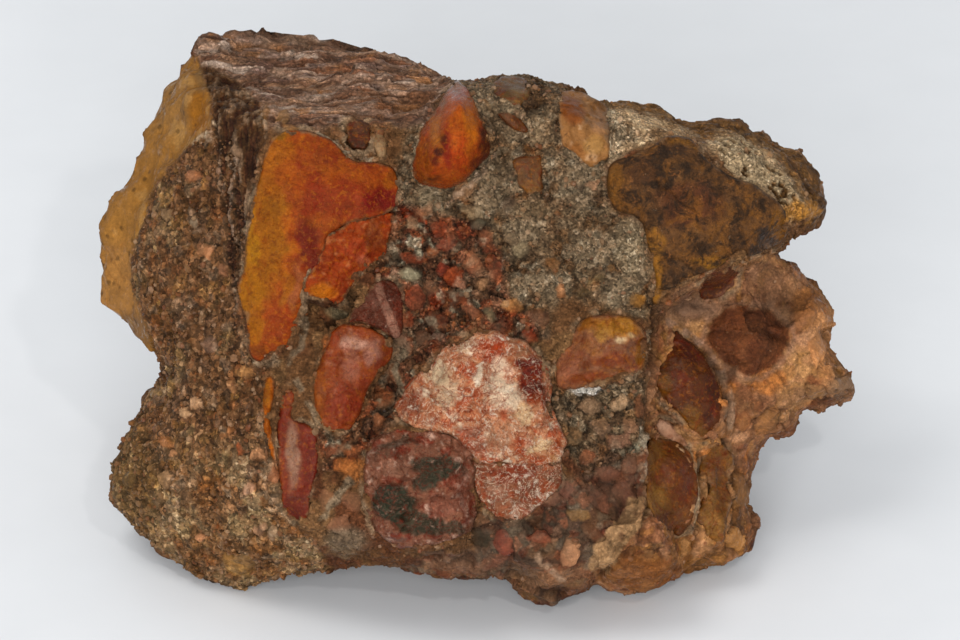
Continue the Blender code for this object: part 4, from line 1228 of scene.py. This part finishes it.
height = 0.15 * soft_lumps * calm
for where, relief in (
        (in_grit, 0.50 * round_grains + 0.2 * fine_grains + 0.5 * crumbs + 0.3 * crumblets
         + 0.15 * upright_lines - 0.15),
        (in_slab, 0.22 * bed_lines + 0.55 * rubble + 0.25 * crumbs + 0.40 * (lath_number - 0.5) * laths
         + 0.25 * lath_lean),
        (in_ridge, 0.34 * upright_lines + 0.4 * crumbs + 0.3 * crumblets),
        (in_grey - 0.7 * smooth_grey, 0.20 * fine_grains + 0.45 * crumbs + 0.35 * rubble + 0.45 * crumblets),
        (in_cream, 0.10 * fine_grains + 0.2 * crumbs - 0.2 * pits + 0.15 * crumblets),
        (in_band, -0.45 * pits + 0.15 * crumblets + 0.1 * crumbs),
        (in_crust, 0.30 * soft_lumps + 0.15 * rubble + 0.04 * crumbs),
        (in_rubble, 1.25 * rubble + 0.9 * crumbs + 0.4 * crumblets),
        (in_terrace, 0.9 * chips + 0.25 * rubble + 0.10 * crumbs + 0.06 * crumblets),
        (in_low, 1.3 * chips + 0.6 * rubble + 0.2 * crumbs + 0.1 * crumblets),
        (in_pocket, 0.3 * round_grains + 0.5 * rubble + 0.4 * crumbs + 0.4 * crumblets),
        (behind * calm, 1.1 * chips + 0.35 * rubble + 0.08 * crumbs + 0.2 * soft_lumps),
        (sandy_back * calm, 0.25 * crumbs + 0.2 * round_grains + 0.2 * crumblets),
        (unnamed, 0.7 * rubble + 0.6 * crumbs + 0.4 * crumblets),
        (in_honey, 0.30 * cloud(block_places, 5.0, 30) + 0.4 * cloud(block_places, 11.0, 33) + 0.18 * chips
         - 0.22 * dimples)):
    height += where * relief
for crack, width, deep in CRACKS:
    height -= deep * ease((width - near_line(block_spots, sheet_line(crack))) / 0.3 + 0.5) * block_front
height = height * (1.0 - 0.75 * chip_share) + chip_lift
height += 0.18 * collar * (1.0 + cloud(block_places, 1.2, 75)) * calm
height = height * (1.0 - under_stone) - 1.3 * under_stone
cement_places = to_world(block_places + block_normals * height[:, None])
cement_places[:, 2] = np.maximum(cement_places[:, 2], 0.0)
block_mesh.vertices.foreach_set("co", cement_places.ravel())
block_mesh.update()
print("cement moved by", height.min().round(2), "to", height.max().round(2), "mm")

# %% [markdown]
# ## Colouring the cement
#
# Each region has its own tones, laid on in coats. A coat covers a region, stains wander over it, and
# where the cement is made of fragments each one gets a tone of its own from a short mix.

# %% Colour the cement
# Two of these patches are painted light: the pale one at 786,284 lifts a dip in the terrace out of its shade,
# and the dark strip at 325,304 is a painted shadow in the gap under the orange stone.
CEMENT_PATCHES = """
    786,284 20,14 146,104,74 0.8; 690,308 14,9 124,96,76 0.8; 540,128 14,16 134,112,86 0.7;
    560,225 26,22 98,76,56 0.3; 500,150 12,40 84,66,50 0.5; 400,402 8,8 98,66,48 0.7;
    587,388 15,4 206,198,184 0.95; 410,273 10,6 132,122,98 0.8; 335,311 11,6 116,102,78 0.9;
    325,304 20,4 62,42,34 0.9; 462,562 38,8 122,88,68 0.7; 430,196 16,10 118,102,80 0.8;
    630,246 15,28 150,130,102 0.85; 530,210 18,10 118,96,72 0.7; 640,572 46,18 112,70,42 0.8;
    606,476 34,32 90,64,52 0.4; 700,300 28,12 106,80,66 0.6; 765,292 22,12 116,80,60 0.5;
    700,560 30,14 124,84,48 0.5; 725,500 22,50 122,86,54 0.6; 135,480 24,60 94,72,48 0.7;
    840,388 16,14 134,102,76 0.8; 548,578 42,12 142,102,74 0.7; 796,211 22,10 176,122,60 0.95;
    330,345 6,10 150,78,40 0.6; 352,470 14,12 150,92,52 0.7; 345,540 24,14 122,108,88 0.6;
    500,560 16,6 116,74,58 0.7; 690,312 30,12 116,88,70 0.7; 400,345 12,10 110,92,74 0.6;
    824,345 13,38 186,130,84 0.75; 766,274 20,11 98,70,56 0.6; 745,402 16,14 112,78,56 0.7;
    482,280 14,12 150,112,84 0.6; 240,58 18,10 98,76,62 0.6; 790,395 20,14 128,92,64 0.6;
    785,315 10,12 140,104,78 0.6; 808,300 14,16 140,92,56 0.7; 390,105 60,14 112,76,54 0.6"""
# Each line of paler cement is a line on the sheet, its half width in millimetres and its tone.
CEMENT_LINES = [
    ("640,508 620,534 600,562", 2.1, (158, 122, 86)),
    ("493,154 482,172 466,188 449,204", 0.5, (172, 142, 116)),
    ("316,133 336,144 352,158 372,161", 0.4, (160, 142, 118)),
    ("644,430 642,455 644,480", 0.5, (150, 134, 112)),
    ("700,458 698,500 692,532", 0.5, (150, 130, 104)),
    ("724,372 732,400 730,440 728,480", 0.5, (146, 116, 92)),
    ("668,322 690,336 708,352 722,372", 0.7, (138, 108, 88)),
    ("296,380 312,408 330,438 345,444", 0.6, (126, 106, 84)),
    ("268,366 285,362 300,350 306,322", 0.7, (126, 106, 84)),
    ("528,546 546,564 564,582", 0.5, (150, 120, 96)),
    ("322,520 336,500 348,480", 0.7, (128, 110, 88)),
    ("212,124 206,131 193,141", 0.7, (164, 140, 112)),
    ("404,350 396,372 404,396", 0.5, (126, 110, 88)),
]
ROUND_PATCH = """
    712,320 726,309 748,304 770,308 784,320 790,338 786,356 772,370 752,376 732,372 716,360 707,340"""
# The darker patches along the stone's right border (200,110, 205,75 and 136,330) are painted shade.
HONEY_PATCHES = """
    170,100 30,34 138,100,58 0.8; 200,110 12,30 132,84,34 0.8; 120,290 26,50 156,110,62 0.9;
    150,190 14,30 134,92,46 0.7; 205,75 10,12 110,84,56 0.8; 136,330 20,16 120,88,58 0.8"""
MAROON_MIX, BROWN_MIX, GREY_MIX, OCHRE_MIX, SLAB_MIX = rows("""
    70,46,38 112,48,34 96,66,50 132,84,62 84,54,44 120,98,78 104,44,32 76,58,48 142,70,46 90,74,60;
    96,66,46 120,82,56 78,52,40 136,104,76 106,62,40 128,88,50 88,66,52 112,90,70;
    110,86,64 84,64,48 138,116,90 104,70,46 122,100,76 92,78,62 128,92,62 70,54,44;
    112,74,44 132,90,52 92,58,40 140,100,66 104,66,48 84,56,40 124,84,60;
    104,76,60 84,58,46 128,98,78 112,70,50 92,70,60 136,112,94 76,54,44 118,84,62""")
tint = np.tile(tone((104, 74, 52)), (len(block_places), 1))


def coat(where, colour):
    """Lay a tone on the cement by an amount for each point."""
    tint[:] = mixed(tint, tone(colour), where)


def stains(where, text):
    """Lay wandering stains on a part of the cement: size, amount, tone, strength and seed of each."""
    for size, amount, colour, strength, seed in rows(text):
        tint[:] = blotches(tint, block_places, size, amount, colour, strength * where, int(seed), 0.4)


def each_fragment(where, number, inside, mix):
    """Give each fragment of a pattern one of the mix's tones."""
    colours = np.array([tone(colour) for colour in mix])
    chosen = colours[np.minimum((number * 7919.0 % 1.0 * len(mix)).astype(int), len(mix) - 1)]
    tint[:] = tint + (chosen - tint) * (inside * where)[:, None]


stains(1.0, "9.0 0.45 92,58,44 0.8 41; 6.0 0.35 126,94,64 0.7 42")
stains(behind, "14.0 0.38 116,84,48 0.7 43")
each_fragment(0.55 * behind, large_number, large, BROWN_MIX)
each_fragment(0.45 * behind, mid_number, mid, MAROON_MIX)
each_fragment(0.35 * behind, small_number, small, BROWN_MIX)
coat(in_grit, (104, 72, 49))
stains(in_grit, "4.0 0.4 80,56,38 0.8 44; 5.0 0.35 130,100,66 0.7 45")
each_fragment(0.45 * in_grit, small_number, small, BROWN_MIX)
low_left = in_grit * ease((block_spots[:, 1] - 420) / 60)
stains(low_left, "7.0 0.50 124,96,66 0.5 46; 4.0 0.34 92,56,36 0.6 50")
coat(in_grey, (116, 92, 68))
stains(in_grey, "3.0 0.42 88,62,44 0.85 47")
stains(in_grey - 0.6 * smooth_grey, "1.0 0.34 62,46,36 0.75 40; 1.6 0.22 140,84,50 0.7 39")
stains(in_grey, "2.2 0.32 148,126,98 0.8 48")
each_fragment(0.55 * (in_grey - 0.7 * smooth_grey), small_number, small, GREY_MIX)
coat(0.6 * smooth_grey, (134, 112, 86))
coat(in_cream, (152, 124, 94))
stains(in_cream, "2.6 0.38 108,78,54 0.8 49")
each_fragment(0.35 * in_cream, small_number, small, GREY_MIX)
coat(in_rubble, (96, 66, 50))
each_fragment(0.75 * in_rubble, mid_number, mid, MAROON_MIX)
each_fragment(0.55 * in_rubble, small_number, small, MAROON_MIX)
stains(in_rubble, "1.8 0.25 146,126,102 0.8 52; 0.9 0.30 52,38,32 0.7 38; 1.2 0.24 150,84,52 0.6 37")
coat(in_terrace, (122, 84, 62))
each_fragment(0.8 * in_terrace, large_number, large, OCHRE_MIX)
each_fragment(0.5 * in_terrace, small_number, small, OCHRE_MIX)
stains(in_terrace, "3.6 0.34 146,104,76 0.8 54; 5.0 0.30 138,84,48 0.8 51; 2.4 0.28 100,60,44 0.7 53")
coat(in_low, (98, 66, 52))
each_fragment(0.6 * in_low, large_number, large, MAROON_MIX)
each_fragment(0.5 * in_low, mid_number, mid, BROWN_MIX)
each_fragment(0.4 * in_low, small_number, small, MAROON_MIX)
coat(in_pocket, (94, 74, 56))
each_fragment(0.7 * in_pocket, small_number, small, GREY_MIX)
coat(in_slab, (104, 78, 62))
each_fragment(0.75 * in_slab, lath_number, laths, SLAB_MIX)
coat(in_slab * ease((-bed_lines - 0.05) / 0.3) * 0.7, (68, 48, 40))
coat(in_slab * ease((bed_lines - 0.45) / 0.3) * 0.5, (128, 102, 84))
stains(in_slab, "5.0 0.32 126,82,52 0.7 57")
coat(in_ridge, (76, 55, 42))
coat(in_ridge * ease((upright_lines - 0.25) / 0.35) * 0.7, (116, 92, 74))
coat(in_ridge * ease((-upright_lines - 0.15) / 0.35) * 0.7, (54, 38, 30))
coat(in_crust, (88, 62, 42))
stains(in_crust, "2.6 0.35 118,80,50 0.8 58; 3.0 0.35 60,46,38 0.8 59")
coat(in_band, (142, 118, 90))
coat(in_band * pits * 0.95, (84, 58, 38))
print("regions painted, mean tint", tint.mean(axis=0).round(3))

# %% [markdown]
# ## Light, shade and marks
#
# Now the regions are balanced against each other, partly with painted light that lifts the ones the
# lamps leave in shade, and each coarse grain gets a tone of its own. Joints between fragments are
# darker, and the recesses of the cement get painted shade. The small stones, single patches and
# lines of paler cement go on last.

# %% Light and dark of the regions
# Partly painted light: these gains set each region's own tone and also make up for how the lamps light it,
# lifting regions the lamps leave in shade, such as the slab tops and the terrace under the wing.
for where, gain in ((in_slab, (1.98, 2.28, 2.60)), (in_cream, (1.75, 1.88, 1.95)),
                    (in_terrace, (1.75, 1.86, 1.90)), (in_grey, (1.10, 1.18, 1.28)),
                    (in_rubble, (1.40, 1.60, 1.66)), (in_low, (0.96, 1.18, 1.34)),
                    (in_pocket, (1.25, 1.35, 1.45)), (in_grit, (0.98, 1.10, 1.30)),
                    (in_crust, (1.20, 1.25, 1.30)), (in_ridge, (1.3, 1.35, 1.3)),
                    (in_band, (0.84, 0.84, 0.84)), (low_left, (1.36, 1.44, 1.46)),
                    (in_slab * behind, (0.65, 0.65, 0.65))):
    tint *= 1.0 + where[:, None] * (np.array(gain) - 1.0)
grit_share = calm * (1.0 - in_slab) * np.clip(
    in_grit + 0.5 * in_rubble + 0.6 * in_pocket + 0.45 * in_grey + 0.12 * in_terrace + 0.7 * sandy_back
    + 0.12 * in_low + 0.2 * in_cream, 0.0, 1.0)
GRAIN_SHADES = np.array([0.55, 0.75, 1.0, 1.3, 1.8])
grain_shade = GRAIN_SHADES[np.minimum((grain_number * 5).astype(int), 4)]
tint *= 1.0 + (grit_share * ease(1.0 - grains / 0.55) * (grain_shade - 1.0))[:, None]
pale_collar = collar * (1.0 - under_stone) * block_front * calm
coat(pale_collar * ease(2.2 * cloud(block_places, 2.6, 60) - 0.2) * 0.75, (144, 120, 94))
broken = np.clip(in_rubble + in_terrace + in_low + in_crust + in_grey + in_pocket + in_slab + behind
                 + in_honey, 0.0, 1.0) * (1.0 - in_slab)
tint *= 1.0 - (broken * (0.30 * (1.0 - mid) + 0.25 * (1.0 - small) + 0.15 * (1.0 - tiny)))[:, None]
tint = mixed(tint, chip_tone, 0.62 * chip_share)
tint = painted(tint, block_spots, block_places, rows(CEMENT_PATCHES), 4.0, 2.0, 65)
for line, width, colour in CEMENT_LINES:
    away = near_line(block_spots + cloud(block_places, 2.0, 66)[:, None] * 2.5, sheet_line(line))
    least, swing = (0.75, 1.6) if width < 2.0 else (1.1, 0.9)
    patchy = ease(least + swing * cloud(block_places, 1.7, 67))
    coat(ease((width - away) / 0.4 + 0.5) * 0.8 * patchy * block_front, colour)
deep_in_patch = inset(block_spots, sheet_line(ROUND_PATCH)) + 0.5 * cloud(block_places, 2.4, 68)
coat(0.6 * np.exp(-((deep_in_patch + 0.5) / 0.5) ** 2) * block_front, (138, 104, 82))
round_tint = mixed(tone((88, 53, 40)), tone((104, 63, 44)), ease(cloud(block_places, 3.0, 69)))
tint = mixed(tint, round_tint, 0.92 * ease(deep_in_patch / 0.6) * block_front)
streaks = ease((cloud(block_places * (1.0, 0.22, 0.6), 0.9, 70, 3) - 0.2) / 0.4)
coat(0.5 * in_grit * streaks * ease((block_spots[:, 0] - 165) / 40), (62, 44, 32))
# Painted shade: the cement is darkened where it dips below its surroundings, as shade falls there; 1.35 is
# the cement's overall gain.
hollow_shade = ease((-0.05 - height) / 0.9)
tint *= 1.35 * (1.0 - 0.5 * hollow_shade * calm)[:, None]
print("mean tint", tint.mean(axis=0).round(3))

# %% [markdown]
# ## The stone at the left end
#
# The honey-coloured stone is part of the block itself, so it is painted here, with pocks and a few
# brown veins. Then the mesh stores what the finish and the sand grains need to know about each point.

# %% The honey-coloured stone, and what the finishes read
honey = painted(np.tile(tone((140, 98, 52)), (len(block_places), 1)), block_spots, block_places,
                rows(HONEY_PATCHES), 6.0, 4.0, 61)
honey *= (1.0 + 0.10 * cloud(block_places, 2.2, 62, 3) + 0.08 * cloud(block_places, 6.0, 63))[:, None]
honey_veins = 1.0 - np.clip(np.abs(cloud(block_places, 7.0, 36, 4)) / 0.05, 0.0, 1.0)
honey = mixed(honey, tone((104, 62, 28)), 0.35 * honey_veins)
honey = mixed(honey, tone((164, 124, 74)), 0.5 * ease((cloud(block_places, 3.4, 35, 3) - 0.35) / 0.3))
honey *= (1.0 - 0.5 * ease((0.22 - cells(block_places, 2.6, 64)[0]) / 0.08))[:, None]
tint = np.clip(mixed(tint, 1.16 * honey, in_honey), 0.004, 0.95)
add_colours(block_mesh, tint)
FLOOR_CLEARANCE = 0.0015
glazed = np.clip(in_terrace + in_low + in_crust + behind - sandy_back, 0.0, 1.0)
bare = calm * (1.0 - 0.6 * chip_share) * (1.0 - 0.45 * glazed)
crisp = in_rubble + in_grey + in_cream + in_pocket
grain_room = np.maximum(grit_share, 0.8 * collar * calm) * (1.0 - under_stone) * (1.0 - 0.8 * chip_share)
for name, values in {"grit": (0.15 + 0.65 * grit_share) * bare,
                     "rough": (0.12 + 0.88 * bare) * (1.0 + 0.5 * crisp - 0.25 * in_grit),
                     "bedded": in_slab, "fluted": np.clip(in_ridge + 0.3 * in_grit, 0.0, 1.0),
                     "grain_room": grain_room * (cement_places[:, 2] > FLOOR_CLEARANCE)}.items():
    layer = block_mesh.attributes.new(name, "FLOAT", "POINT")
    layer.data.foreach_set("value", values.astype(np.float32))
    print(name, "from", values.min().round(2), "to", values.max().round(2))

# %% Put the cement into the scene
PARTS = ("left", "middle", "right")


def cut_off(shell, edge, outward):
    """Cut away what lies past a plane across the block's length, and close the cut with a flat cap."""
    everything = shell.verts[:] + shell.edges[:] + shell.faces[:]
    made = bmesh.ops.bisect_plane(shell, geom=everything, dist=1e-7, plane_co=(edge, 0.0, 0.0),
                                  plane_no=(outward, 0.0, 0.0), clear_outer=True)
    rim = [item for item in made["geom_cut"] if isinstance(item, bmesh.types.BMEdge)]
    caps = bmesh.ops.holes_fill(shell, edges=rim)["faces"]
    for cap in caps:
        cap.smooth = False
        if cap.normal.x * outward < 0:
            cap.normal_flip()
    for line in rim:
        line.smooth = False
    bmesh.ops.triangulate(shell, faces=caps, ngon_method="EAR_CLIP")


def cement_part(name, low, high):
    """The closed slice of the cement between two such planes; None stands for the block's own end."""
    shell = bmesh.new()
    shell.from_mesh(block_mesh)
    if low is not None:
        cut_off(shell, low, -1.0)
    if high is not None:
        cut_off(shell, high, 1.0)
    part = bpy.data.meshes.new("cement part")
    shell.to_mesh(part)
    shell.free()
    part.materials.append(CEMENT)
    return put(name, part)


block_mesh.materials.clear()
block_mesh.materials.append(CEMENT)
block_mesh.shade_smooth()
across = np.sort(cement_places[:, 0])
edges = [None] + [float(across[len(across) * k // len(PARTS)]) for k in range(1, len(PARTS))] + [None]
cement_parts = [cement_part("cement_" + name, low, high) for name, low, high in zip(PARTS, edges, edges[1:])]
for part in cement_parts:
    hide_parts("breccia")
    print(part.name, len(part.data.polygons), "faces")

# %% [markdown]
# ## Sand grains
#
# Thousands of grains stand half out of the cement. One small many-sided grain is scattered by a
# geometry node tree, each copy turned, stretched and shaded in its own way, more of them where the
# cement is gritty. The copies are then made real, so the result is a plain mesh.

# %% Scatter the grains
def random_value(tree, kind, seed, **bounds):
    """A random number or vector for each copy."""
    made = node(tree, "FunctionNodeRandomValue", {"Seed": seed, **bounds}, data_type=kind)
    return made.outputs[0 if kind == "FLOAT_VECTOR" else 1]


def grain_tree(finish):
    """A node tree that scatters grains over a surface."""
    tree = bpy.data.node_groups.new("scatter grains", "GeometryNodeTree")
    tree.is_modifier = True
    for label, kind in (("Surface", "Geometry"), ("Grains per square metre", "Float"), ("Smallest", "Float"),
                        ("Largest", "Float"), ("Seed", "Int")):
        tree.interface.new_socket(label, in_out="INPUT", socket_type="NodeSocket" + kind)
    tree.interface.new_socket("Grains", in_out="OUTPUT", socket_type="NodeSocketGeometry")
    given = node(tree, "NodeGroupInput").outputs

    room = node(tree, "GeometryNodeInputNamedAttribute", {"Name": "grain_room"}, data_type="FLOAT")
    density = product(tree, given["Grains per square metre"], room.outputs["Attribute"])
    points = node(tree, "GeometryNodeDistributePointsOnFaces",
                  {"Mesh": given["Surface"], "Density": density, "Seed": given["Seed"]}).outputs["Points"]

    grain = node(tree, "GeometryNodeMeshIcoSphere", {"Radius": 1.0, "Subdivisions": 1}).outputs["Mesh"]
    turn = random_value(tree, "FLOAT_VECTOR", given["Seed"], Max=(6.28, 6.28, 6.28))
    stretch = random_value(tree, "FLOAT_VECTOR", given["Seed"], Min=(0.4, 0.4, 0.4), Max=(1.35, 1.35, 1.35))
    luck = random_value(tree, "FLOAT", given["Seed"])
    rarely_large = node(tree, "ShaderNodeMath", {0: luck, 1: 2.2}, operation="POWER").outputs[0]
    size = node(tree, "ShaderNodeMapRange", {"Value": rarely_large, "To Min": given["Smallest"],
                                             "To Max": given["Largest"]}).outputs[0]
    scale = node(tree, "ShaderNodeVectorMath", operation="SCALE")
    feed(scale.inputs[0], stretch)
    feed(scale.inputs["Scale"], size)

    copies = node(tree, "GeometryNodeInstanceOnPoints",
                  {"Points": points, "Instance": grain, "Rotation": turn,
                   "Scale": scale.outputs[0]}).outputs["Instances"]
    shaded_copies = node(tree, "GeometryNodeStoreNamedAttribute",
                         {"Geometry": copies, "Name": "shade", "Value": random_value(tree, "FLOAT", 5)},
                         domain="INSTANCE", data_type="FLOAT").outputs["Geometry"]
    real = node(tree, "GeometryNodeRealizeInstances", {"Geometry": shaded_copies}).outputs["Geometry"]
    dressed = node(tree, "GeometryNodeSetMaterial", {"Geometry": real, "Material": finish})
    node(tree, "NodeGroupOutput", {"Grains": dressed.outputs["Geometry"]})
    return tree


def grain_finish(name):
    """Grains: the cement's colour mixed with a palette by each grain's own shade."""
    material, tree, shader = new_material(name)
    stops = rows("0.0 70,50,40; 0.22 104,74,52; 0.4 132,92,62; 0.58 128,66,40; 0.72 146,108,72;"
                 "0.86 156,112,80; 0.96 184,150,118; 1.0 150,84,40")
    palette = ramp(tree, stored(tree, "shade")["Fac"], [(place, tone(colour)) for place, colour in stops])
    colour = mix_colour(tree, "MIX", 0.42, stored(tree, "tint")["Color"], palette)
    colour = shaded(tree, colour, 0.7, noise_at(tree, 2400.0, 3.0, 0.6), (0.3, 0.65), (0.5, 1.0), (0.7, 1.35))
    finish_shader(shader, colour, 0.42, 0.15)
    return material


SCATTER = grain_tree(grain_finish("sand_grain"))


def scatter(name, per_square_metre, smallest, largest, seed):
    """Run the node tree on the cement and keep its result as a plain mesh piece."""
    host = put("grain host", block_mesh.copy())
    scattering = host.modifiers.new("grains", "NODES")
    values = {"Grains per square metre": per_square_metre, "Smallest": smallest, "Largest": largest,
              "Seed": seed}
    scattering.node_group = SCATTER
    for socket in SCATTER.interface.items_tree:
        if socket.in_out == "INPUT" and socket.name in values:
            scattering[socket.identifier] = values[socket.name]
    mesh = with_modifiers(host)
    mesh.name = name
    print(name, len(mesh.polygons), "faces")
    return put(name, mesh)


pieces.append(scatter("coarse_grains", per_square_metre=350000.0, smallest=0.00022, largest=0.00068, seed=3))
pieces.append(scatter("fine_grains", per_square_metre=600000.0, smallest=0.00011, largest=0.00030, seed=8))

# %% [markdown]
# ## Floor, light and viewer
#
# The block stands on a pale floor in a bright, even room, which gives most of the light. A broad
# light from the viewer's side opens up the face, a smaller one above the left shoulder brightens
# the tops, and a small lamp gives the waxy stones their glints.

# %% Floor, light and viewer
FLOOR_HALF = 4.0


def pale_floor():
    """A wide, flat, pale floor with the faintest clouding."""
    mesh = bpy.data.meshes.new("floor")
    corners = [(x * FLOOR_HALF, y * FLOOR_HALF, 0.0) for x, y in ((-1, -1), (1, -1), (1, 1), (-1, 1))]
    mesh.from_pydata(corners, [], [(0, 1, 2, 3)])
    material, tree, shader = new_material("pale_floor")
    colour = ramp(tree, noise_at(tree, 60.0, 4.0, 0.5), [(0.3, (0.68, 0.695, 0.715)),
                                                         (0.7, (0.70, 0.715, 0.735))])
    finish_shader(shader, colour, 0.7, 0.5)
    mesh.materials.append(material)
    return put("floor", mesh)


def aimed(item, place, aim):
    """Put a light or camera at a place and turn it to a point."""
    item.location = place
    item.rotation_euler = (Vector(place) - Vector(aim)).to_track_quat("Z", "Y").to_euler()


def soft_light(name, place, size, power, colour):
    """A square soft light, aimed at the middle of the broken face."""
    light = bpy.data.lights.new(name, "AREA")
    light.size = size
    light.energy = power
    light.color = colour
    aimed(put(name, light), place, face_middle)


floor = pale_floor()
face_middle = Vector(FACE_CENTRE * MM)
soft_light("top light", (-0.40, -0.30, 1.10), size=0.45, power=3.9, colour=(1.0, 0.99, 0.97))
soft_light("front light", (-0.20, -2.25, 0.90), size=1.2, power=49.0, colour=(1.0, 1.0, 1.0))
soft_light("small lamp", (0.24, -0.95, 0.92), size=0.04, power=1.8, colour=(1.0, 0.98, 0.95))

world = bpy.data.worlds.new("soft room")
bpy.context.scene.world = world
world.use_nodes = True
room_tree = world.node_tree
way_out = node(room_tree, "ShaderNodeTexCoord").outputs["Generated"]
upward = node(room_tree, "ShaderNodeSeparateXYZ", {"Vector": way_out}).outputs["Z"]
background = room_tree.nodes["Background"]
feed(background.inputs["Color"], ramp(room_tree, upward, [
    (0.0, (0.88, 0.90, 0.92)), (0.25, (0.93, 0.95, 0.97)), (1.0, (0.96, 0.98, 1.0))]))
feed(background.inputs["Strength"], 0.68)
bpy.context.scene.view_settings.view_transform = "Standard"

camera_data = bpy.data.cameras.new("viewer")
camera_data.lens = LENS
camera_data.sensor_width = SENSOR
camera_data.clip_end = 20.0
camera = put("viewer", camera_data)
aimed(camera, eye, face_middle)
bpy.context.scene.camera = camera
print("three lights and a viewer", round((Vector(eye) - face_middle).length, 2), "m away")

# %% [markdown]
# ## Hand over
#
# Every piece moves with the one body of this rock.

# %% Hand over
for piece in cement_parts + pieces:
    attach(piece, "root")
counts = {piece.name: sum(len(face.vertices) - 2 for face in piece.data.polygons)
          for piece in cement_parts + pieces}
print(len(counts), "pieces,", sum(counts.values()), "triangles, the most in one piece", max(counts.values()))
